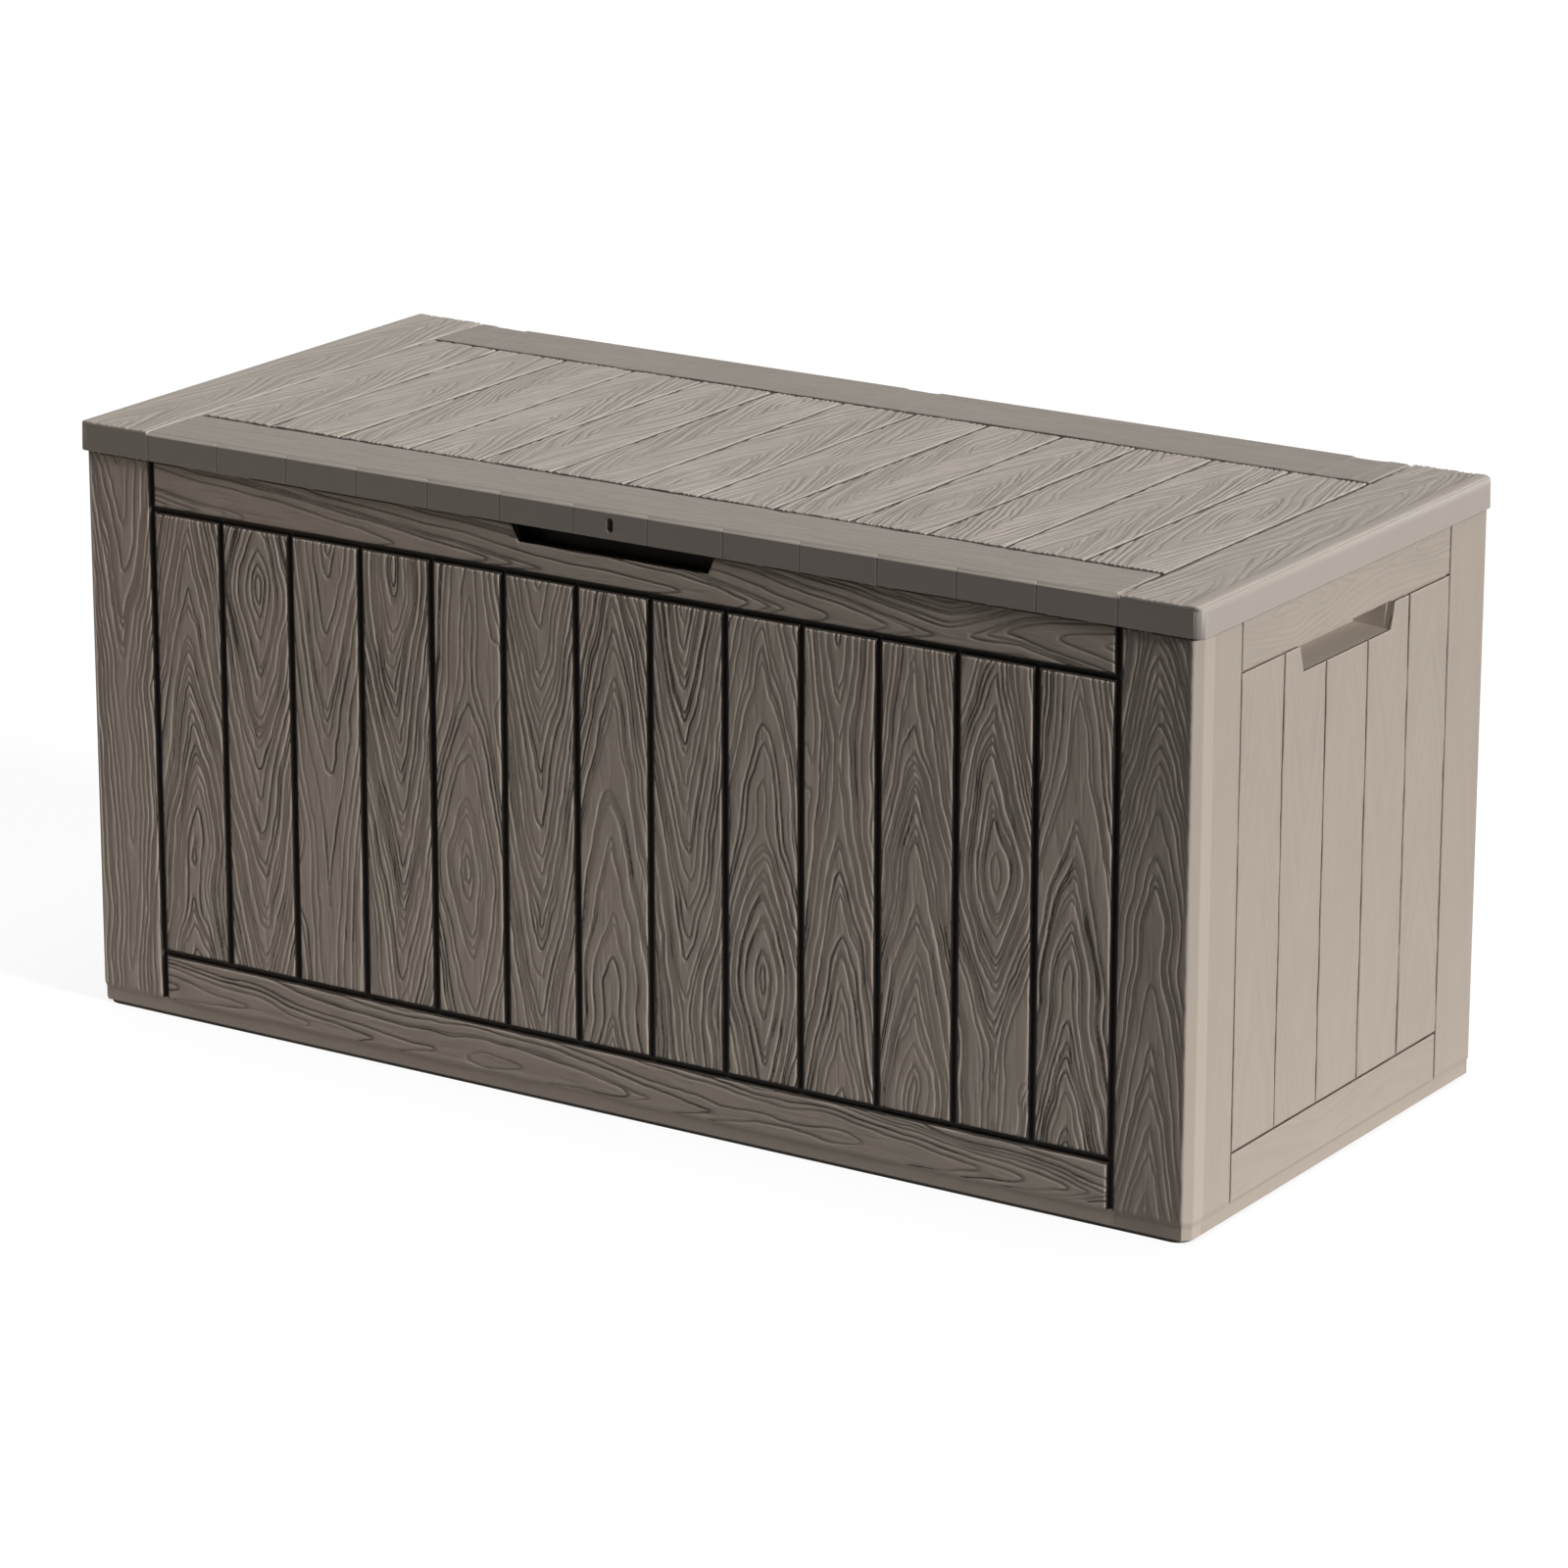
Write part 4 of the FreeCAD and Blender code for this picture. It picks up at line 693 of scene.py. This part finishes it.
for side, hand in ((-1, "left"), (1, "right")):
    def end_place(p, q, h):
        return side * (side_x + h), p, q

    def swayed(seed):
        """Places a plank whose long edges aren't quite straight."""
        knots = np.random.default_rng(seed).uniform(-1, 1, (4, 60))
        run = np.arange(60)

        def place(p, q, h):
            left = 0.7 * np.interp(q / 38, run, knots[0]) + 0.3 * np.interp(q / 9, run, knots[1])
            right = 0.7 * np.interp(q / 38, run, knots[2]) + 0.3 * np.interp(q / 9, run, knots[3])
            part = ease((p - near) / (far - near))
            return side * (side_x + h), p + left * (1 - part) + right * part, q
        return place

    for number in range(5):
        middle = (number - 2) * plank_pitch
        near, far = middle - plank_half, middle + plank_half
        notch = [place - near for place in window if near < place < far]
        columns = stations(wide, 1.4, notch) + near
        tops = np.interp(columns, lip, crest)
        knots = np.array([near] + [place + near for place in notch] + [far])
        outline = sides_of((near, plank_foot), *zip(knots, np.interp(knots, lip, crest)),
                           (far, plank_foot))
        depths = grain(200 + 10 * side + number, wide, long, plank_figures[number])

        def skin(p, q):
            carved = read(depths, p - near, q - plank_foot)
            height = end_proud - end_carve * carved - turned_over(edge_gap(p, q, *outline), end_radius)
            return height, carved * end_shade

        slab(f"{hand}_plank_{number + 1}", "box", columns, plank_foot, tops,
             shares(long, 3.5), skin, swayed(270 + 10 * side + number), shade=0.1)

    half = plank_field - groove + lap
    across = stations(2 * half, 3.0) - half
    top_depths = grain(230 + side, 60, 2 * half, [(-50, 10), (90, 0), (250, 16), (400, 2)],
                       lean=((0, 5),))
    foot_depths = grain(240 + side, 60, 2 * half, [(-60, 0), (180, 18), (280, 8), (420, 16)],
                        lean=((0, -3),))
    rail_sides = rectangle(-half, half, end_rail_foot, rail_top)
    foot_sides = rectangle(-half, half, wall_foot, end_rail_head, with_foot=False)

    def end_top_skin(p, q):
        carved = read(top_depths, q - end_rail_foot, p + half) * rail_deeper
        height = end_proud - end_carve * carved - turned_over(edge_gap(p, q, *rail_sides), end_radius)
        return height, carved * end_shade + skirt_shadow(q)

    def end_foot_skin(p, q):
        carved = read(foot_depths, q, p + half)
        height = end_proud - end_carve * carved - turned_over(edge_gap(p, q, *foot_sides), end_radius)
        return plinth(q, height, carved * end_shade)

    slab(f"{hand}_top_rail", "box", across, end_rail_foot, rail_top,
         shares(rail_top - end_rail_foot, 1.4), end_top_skin, end_place, shade=0.5)
    slab(f"{hand}_foot_rail", "box", across, wall_foot, end_rail_head,
         shares(end_rail_head - wall_foot, 1.4), end_foot_skin, end_place, shade=0.5)
    for end, near, far in (("front", -234.4, -plank_field - groove + lap),
                           ("rear", plank_field + groove - lap, 253.8)):
        depths = grain(250 + side * len(end), 60, rail_top, [(-50, 0), (600, 40)])
        post_sides = rectangle(near, far, wall_foot, rail_top, with_foot=False)

        def end_post_skin(p, q):
            carved = read(depths, p - near, q) * post_calmer
            height = end_proud - end_carve * carved - turned_over(edge_gap(p, q, *post_sides), 0.8)
            height, shade = plinth(q, height, carved * end_shade)
            return height, shade + skirt_shadow(q)

        slab(f"{hand}_{end}_post", "box", stations(far - near, 1.4) + near, wall_foot, rail_top,
             shares(rail_top - wall_foot, 3.5), end_post_skin, end_place, shade=0.5)

# ---------------------------------------------------------------- lid
# One moulding like the walls: thirteen boards between two rails and two broad end boards,
# over a smooth skirt. The top face is carved right up to the height of the moulding.

lid_colour = (0.430, 0.385, 0.338, 1)
lid_resin = moulded("lid_resin_grey_brown", lid_colour)
looks["lid"] = (lid_resin, "lid_resin")
lid_top, lid_cut, lid_carve = 562.0, 559.9, 1.45
bevel_y, skirt_y, lid_lap = 257.11, 256.6, 0.8
crease_deep, board_shade, rail_calmer = 0.6, 1.1, 0.6
# Painted shade on the lid's front and rear skirts and on the front ends of its boards.
front_skirt_shade, rear_skirt_shade, board_end_dark = 1.7, 1.1, 3.2
sunk_foot, sunk_x, sunk_y, skirt_head = 558.5, 576, 256.5, 557.7

shell = bpy.data.meshes.new("lid_shell_trimmed")
bm = bmesh.new()
bm.from_mesh(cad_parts["lid_shell"].data)
bmesh.ops.remove_doubles(bm, verts=bm.verts, dist=1e-6)
cut = bmesh.ops.bisect_plane(bm, geom=bm.verts[:] + bm.edges[:] + bm.faces[:], dist=1e-6,
                             plane_co=(0, 0, lid_cut * mm), plane_no=(0, 0, 1), clear_outer=True)
cut_rim = [part for part in cut["geom_cut"] if isinstance(part, bmesh.types.BMEdge)]
bmesh.ops.holes_fill(bm, edges=cut_rim, sides=0)
# The sunk top shows as the floor of the grooves: painted shade darkens it strongly, and the front and
# rear skirts a little.
depth = bm.verts.layers.float.new("relief")
for vert in bm.verts:
    x, y, z = vert.co / mm
    if sunk_foot < z < lid_cut + 0.1 and abs(x) < sunk_x and abs(y) < sunk_y:
        vert[depth] = groove_floor_shade
    elif abs(y) > sunk_y and z < skirt_head:
        vert[depth] = front_skirt_shade if y < 0 else rear_skirt_shade
# Where a groove meets the front of the lid, a fine crease runs on down the bevel and the skirt.
for number in range(14):
    crease = number * board_pitch - field
    for side_step in (-1.2, 0, 0.6):
        outer = [face for face in bm.faces
                 if face.normal.y < -0.3 and face.calc_center_median().y < -skirt_y * mm]
        parts = set(outer)
        for face in outer:
            parts.update(face.verts)
            parts.update(face.edges)
        bmesh.ops.bisect_plane(bm, geom=list(parts), dist=1e-7, plane_no=(1, 0, 0),
                               plane_co=((crease + side_step) * mm, 0, 0))
    for vert in bm.verts:
        if abs(vert.co.x - crease * mm) < 1e-6 and vert.co.y < -skirt_y * mm:
            vert.co.y += crease_deep * mm
bm.to_mesh(shell)
bm.free()
shell.materials.clear()
shell.materials.append(lid_resin)
lid = placed("lid_moulding", shell)
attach(lid, "lid")
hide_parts("lid_shell")


def lid_place(p, q, h):
    return p, q, lid_top - 0.02 + np.minimum(h, 0)


front_groove, rear_groove = -184.0, 180.0
low, high = front_groove + groove - 0.2, rear_groove - groove + 0.2
board_half = board_pitch / 2 - groove + lid_lap
wide, long = 2 * board_half, high - low


def board_end_shade(q):
    """Painted shade on the front ends of the lid's boards, which stand over the groove where rain runs
    off.
    """
    return board_end_dark * ease((0.7 - q) / 0.7)


lid_figures = [[(-50, 0), (480, 60)], [(-50, 22), (120, 0), (480, 40)], [(-50, 56), (420, 0)],
               [(-50, 0), (420, 52)], [(-50, 34), (250, 0), (480, 30)],
               [(-50, 50), (330, 0), (420, 9)], [(-50, 12), (60, 0), (420, 50)],
               [(-50, 0), (180, 26), (420, 0)], [(-50, 44), (300, 0), (420, 14)],
               [(-50, 16), (90, 0), (420, 46)], [(-50, 60), (420, 2)], [(-50, 0), (420, 56)],
               [(-50, 30), (200, 0), (420, 28)]]
for number in range(13):
    near = (number - 6) * board_pitch - board_half
    depths = grain(300 + number, wide, long, lid_figures[number])
    outline = rectangle(0, wide, 0, long)

    def skin(p, q):
        carved = read(depths, p, q)
        height = -lid_carve * carved - turned_over(edge_gap(p, q, *outline), 1.5)
        return height, carved * board_shade + board_end_shade(q)

    slab(f"lid_board_{number + 1:02d}", "lid", stations(wide, 0.9), 0, long, shares(long, 2.6),
         skin, lambda p, q, h: lid_place(near + p, low + q, h), root=2.2)

edge_y, notch_y, rail_tone = 259.2, 254.4, 0.8
rail_half = field - groove + lid_lap
length = 2 * rail_half
notches = [station + edge for station in (-470, 0, 470) for edge in (-18.05, -17.95, 17.95, 18.05)]
for name, near, far, seed in (("lid_front_rail", -edge_y, front_groove - groove - 0.5, 344),
                              ("lid_rear_rail", rear_groove + groove - 0.2, edge_y, 343)):
    depths = grain(seed, far - near, length,
                   [(-50, 10), (150, 0), (330, 16), (520, 2), (700, 17), (900, 0), (1090, 12)])
    columns = stations(length, 2.6) - rail_half
    tops, ends = far, []
    outline = rectangle(-rail_half, rail_half, -bevel_y, far, with_foot=False)
    if name == "lid_rear_rail":
        ends = notches
        columns = stations(length, 2.6, [place + rail_half for place in ends]) - rail_half
        crest = [far] + [far, notch_y, notch_y, far] * 3 + [far]
        tops = np.interp(columns, [-999] + ends + [999], crest)
        outline = rectangle(-rail_half, rail_half, bevel_y, near, with_foot=False)

    def skin(p, q):
        beyond = np.abs(q) - bevel_y
        carved = read(depths, q - near, p + rail_half) * ease(-beyond / 1.5)
        for notch_side in ends:
            carved = carved * ease(np.abs(p - notch_side) / 2.5)
        carved = carved * rail_calmer
        height = -lid_carve * carved - turned_over(edge_gap(p, q, *outline), 1.2)
        return np.where(beyond > 0, np.minimum(height, 0) - beyond, height), carved + rail_tone

    slab(name, "lid", columns, near, tops, shares(far - near, 1.3), skin, lid_place, root=2.2,
         shade=lambda p, q: groove_floor_shade * (np.abs(q) < 250))

end_near, end_round, end_far = field + groove - lid_lap, 581.6, 585.5
corner_y, corner_radius, end_radius = 253.0, 9.0, 8.0
for side, hand in ((-1, "left"), (1, "right")):
    columns = stations(end_far - end_near, 1.4, [end_round - end_near]) + end_near
    past = np.clip(columns - 581, 0, corner_radius)
    corner = corner_y + np.sqrt(corner_radius ** 2 - past ** 2) - 0.38
    depths = grain(340 + side, 76, 530, [(-50, 0), (250, 30), (275, 26), (600, 66)])

    def skin(p, q):
        carved = read(depths, p - end_near, q + 262) * ease((576 - p) / 5)
        gap = np.minimum(p - end_near, np.interp(p, columns, corner) - np.abs(q))
        arc = end_radius - np.sqrt(end_radius ** 2 - np.clip(p - end_round, 0, end_radius) ** 2)
        return -lid_carve * carved - turned_over(gap, 1.4) - arc, carved * board_shade

    slab(f"lid_end_board_{hand}", "lid", columns, -corner, corner, shares(520, 3.0),
         skin, lambda p, q, h: lid_place(side * p, q, h), root=4.6,
         shade=lambda p, q: groove_floor_shade * (p < end_near + 0.5) * (np.abs(q) < 255))

# ---------------------------------------------------------------- rear wall
# The same boards, rails and posts as in front, facing the garden wall. Its top rail is cut away
# round the three hinges, where the webs of the knuckles run down the wall.

rear_y, rear_carve, lap = 258.0, 0.72, -0.6
board_half = board_pitch / 2 - groove + lap
wide, long = 2 * board_half, board_head - board_foot
for number in range(13):
    depths = grain(400 + number, wide, long, front_figures[(number * 5 + 3) % 13])
    outline = rectangle(0, wide, 0, long)
    near = (number - 6) * board_pitch - board_half

    def skin(p, q):
        carved = read(depths, p, q)
        return end_proud - rear_carve * carved - turned_over(edge_gap(p, q, *outline)), carved

    slab(f"rear_board_{number + 1:02d}", "box", stations(wide, 1.15), 0, long, shares(long, 3.0),
         skin, lambda p, q, h: (-near - p, rear_y + h, board_foot + q))

rail_half = field - groove + lap
length = 2 * rail_half
web_half, web_foot = 33.0, 506.0
rail_line = [station + edge for station in (-470, 0, 470)
             for edge in (-web_half - 0.1, -web_half, web_half, web_half + 0.1)]
rail_line[0], rail_line[-1] = max(rail_line[0], -rail_half + 0.5), min(rail_line[-1], rail_half - 0.5)
rail_line = [-rail_half] + rail_line + [rail_half]
rail_crest = [rail_top] + [rail_top, web_foot, web_foot, rail_top] * 3 + [rail_top]
columns = stations(length, 2.8, [place + rail_half for place in rail_line[1:-1]]) - rail_half
depths = grain(431, 60, length, [(-50, 0), (260, 14), (420, 2), (700, 18), (1090, 0)], ring=3.8)
outline = sides_of(*zip(rail_line, rail_crest), (rail_half, rail_foot), (-rail_half, rail_foot))


def rear_top_skin(p, q):
    carved = read(depths, q - rail_foot, p + rail_half)
    for cut_side in rail_line[1:-1]:
        carved = carved * ease(np.abs(p - cut_side) / 2.5)
    height = end_proud - rear_carve * carved - turned_over(edge_gap(p, q, *outline))
    return height, carved + skirt_shadow(q)


def rear_place(p, q, h):
    return -p, rear_y + h, q


slab("rear_top_rail", "box", columns, rail_foot, np.interp(columns, rail_line, rail_crest),
     shares(rail_top - rail_foot, 1.3), rear_top_skin, rear_place)

rear_foot_depths = grain(437, 60, length, [(-50, 40), (300, 24), (330, 27), (700, 8), (720, 11),
                                           (1090, 0)], ring=3.8)


def rear_foot_skin(p, q):
    carved = read(rear_foot_depths, q, p + rail_half)
    height = end_proud - rear_carve * carved - turned_over(edge_gap(p, q, *foot_outline))
    return plinth(q, height, carved)


slab("rear_foot_rail", "box", stations(length, 2.8) - rail_half, wall_foot, rail_head,
     shares(rail_head - wall_foot, 1.3), rear_foot_skin, rear_place)

post_near, post_far = field + groove - lap, 583.4
for side, hand in ((-1, "left"), (1, "right")):
    figure = [(-60, 0), (600, 70)] if side > 0 else [(-60, 66), (600, 0)]
    rear_post_depths = grain(450 + side, 76, rail_top, figure)
    ends = rectangle(post_near, post_far, wall_foot, rail_top, with_foot=False)

    def rear_post_skin(p, q):
        carved = read(rear_post_depths, p - post_near, q) * ease((post_far - 1 - p) / 3)
        height = end_proud - rear_carve * carved - turned_over(edge_gap(p, q, *ends), 1.8)
        height, shade = plinth(q, height, carved)
        return height, shade + skirt_shadow(q)

    slab(f"rear_post_{hand}", "box", stations(post_far - post_near, 1.3) + post_near, wall_foot,
         rail_top, shares(rail_top - wall_foot, 3.0), rear_post_skin,
         lambda p, q, h: (side * p, rear_y + h, q), root=1.0, shade=1.0)

# ---------------------------------------------------------------- walls, cups and bracket
# The plain sides of the wall mouldings, the cups screwed behind the handle windows and the bent
# padlock bracket are the same resin, straight from the mould.

for name in ("front_panel", "rear_panel"):
    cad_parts[name].data.materials[0] = grooved_resin
for name in ("left_side_panel", "right_side_panel", "handle_cup_left", "handle_cup_right",
             "lock_bracket"):
    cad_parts[name].data.materials[0] = resin

# ---------------------------------------------------------------- tray
# The ribbed floor tray stands on the ground and carries the walls, which are screwed to its
# rim. It is a darker resin with a coarser mould texture.

tray_colour = (0.085, 0.077, 0.070, 1)
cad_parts["base_tray"].data.materials[0] = moulded("tray_resin_dark", tray_colour, spark=0.3)

# ---------------------------------------------------------------- hinge pins and clips
# Turned steel pins through the three hinges, each held by a push-on clip, zinc plated.


def plated(name, colour, dull):
    """Zinc plating: a pale grey metal with faint crystal patches; dull is its least roughness."""
    made, nodes, links = material(name)
    surface = nodes.new("ShaderNodeBsdfPrincipled")
    surface.inputs["Metallic"].default_value = 1
    tree = made.node_tree
    patches = cloud(tree, 420, 2)
    mix = nodes.new("ShaderNodeValToRGB")
    stops = mix.color_ramp.elements
    stops[0].position, stops[0].color = 0.3, tuple(value * 0.8 for value in colour) + (1,)
    stops[1].position, stops[1].color = 0.7, colour + (1,)
    links.new(patches, mix.inputs["Fac"])
    links.new(mix.outputs["Color"], surface.inputs["Base Color"])
    rough = sum_of(tree, "MULTIPLY_ADD", cloud(tree, 900, 1), rough_range, dull)
    links.new(rough, surface.inputs["Roughness"])
    textured(nodes, links, surface, cloud(tree, 1500, 1), 0.1, 0.0001)
    return made


zinc = plated("zinc_plate", (0.60, 0.61, 0.62), 0.30)
for station in ("left", "centre", "right"):
    for kind in ("pin", "clip"):
        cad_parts[f"hinge_{kind}_{station}"].data.materials[0] = zinc

# ---------------------------------------------------------------- screws
# Pan-headed screws with a cross recess, driven from inside the box: through the corners, the
# tray wall, the flanges of the handle cups and the wings of the padlock bracket.

head_radius, head_rise, recess_deep = 4.3, 2.5, 1.5
shank_radius, point_long = 1.95, 2.2
cad_head, cad_reach = 2.6, (3.81, 3.81, 4.4)


def turned_screw(shank):
    """One screw pointing along -Z with its head's seat at z 0: a turned body, then the recess."""
    bm = bmesh.new()
    profile = [(shank_radius * 0.3, -shank), (shank_radius, -shank + point_long), (shank_radius, 0),
               (head_radius, 0), (head_radius, 0.7), (head_radius * 0.9, 1.6),
               (head_radius * 0.66, head_rise - 0.25), (head_radius * 0.5, head_rise)]
    points = [bm.verts.new((radius * mm, 0, height * mm)) for radius, height in profile]
    line = [bm.edges.new(pair) for pair in zip(points, points[1:])]
    bmesh.ops.spin(bm, geom=points + line, cent=(0, 0, 0), axis=(0, 0, 1), angle=math.tau,
                   steps=24, use_merge=True)
    bmesh.ops.remove_doubles(bm, verts=bm.verts, dist=1e-7)
    tip = [edge for edge in bm.edges if edge.is_boundary and edge.verts[0].co.z < 0]
    bmesh.ops.holes_fill(bm, edges=tip, sides=0)
    crown = [edge for edge in bm.edges if edge.is_boundary]
    arm, waist = head_radius * 0.40, head_radius * 0.13
    corners = []
    for quarter in range(4):
        turn = quarter * math.pi / 2
        for along, aside in ((waist, -arm), (waist, -waist), (arm, -waist)):
            corners.append(((along * math.cos(turn) - aside * math.sin(turn)) * mm,
                            (along * math.sin(turn) + aside * math.cos(turn)) * mm))
    edge_of = [bm.verts.new((x, y, head_rise * mm)) for x, y in corners]
    cross = bm.faces.new(edge_of)
    ring = list(cross.edges)
    deep = bmesh.ops.extrude_discrete_faces(bm, faces=[cross])["faces"]
    bmesh.ops.bridge_loops(bm, edges=crown + ring)
    bmesh.ops.translate(bm, verts=deep[0].verts, vec=(0, 0, -recess_deep * mm))
    bmesh.ops.scale(bm, verts=deep[0].verts, vec=(0.75, 0.75, 1))
    bmesh.ops.bridge_loops(bm, edges=ring + list(deep[0].edges))
    bmesh.ops.recalc_face_normals(bm, faces=bm.faces)
    return bm


def screw_row(node, counts, way):
    """Screws in place of a node's, in even rows over its box, pointing along the way given."""
    low, high = (np.array(corner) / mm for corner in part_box(node))
    way = np.array(way)
    spots = []
    for axis in range(3):
        first, last = low[axis] + cad_reach[axis], high[axis] - cad_reach[axis]
        if way[axis]:
            start = low[axis] if way[axis] > 0 else high[axis]
            spots.append([start + cad_head * way[axis]])
        elif counts[axis] > 1:
            spots.append(np.linspace(first, last, counts[axis]))
        else:
            spots.append([(low[axis] + high[axis]) / 2])
    shank = abs(way @ (high - low)) - cad_head
    one = turned_screw(shank)
    turn = Vector(-way).to_track_quat("Z", "Y").to_matrix()
    bmesh.ops.rotate(one, verts=one.verts, cent=(0, 0, 0), matrix=turn)
    pattern = bpy.data.meshes.new("screw")
    one.to_mesh(pattern)
    one.free()
    row = bmesh.new()
    for x in spots[0]:
        for y in spots[1]:
            for z in spots[2]:
                before = len(row.verts)
                row.from_mesh(pattern)
                row.verts.ensure_lookup_table()
                bmesh.ops.translate(row, verts=row.verts[before:], vec=Vector((x, y, z)) * mm)
    mesh = bpy.data.meshes.new(f"{node}_turned")
    row.to_mesh(mesh)
    row.free()
    mesh.materials.append(zinc)
    made = placed(f"{node}_turned", mesh)
    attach(made, "box")
    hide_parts(node)


for side, sign in (("left", -1), ("right", 1)):
    screw_row(f"corner_screws_front_{side}", (1, 1, 4), (sign, 0, 0))
    screw_row(f"corner_screws_rear_{side}", (1, 1, 4), (0, 1, 0))
    screw_row(f"tray_screws_{side}", (1, 2, 1), (sign, 0, 0))
    screw_row(f"handle_screws_{side}", (1, 2, 2), (sign, 0, 0))
screw_row("tray_screws_front", (5, 1, 1), (0, -1, 0))
screw_row("tray_screws_rear", (5, 1, 1), (0, 1, 0))
screw_row("lock_screws", (2, 1, 1), (0, 1, 0))
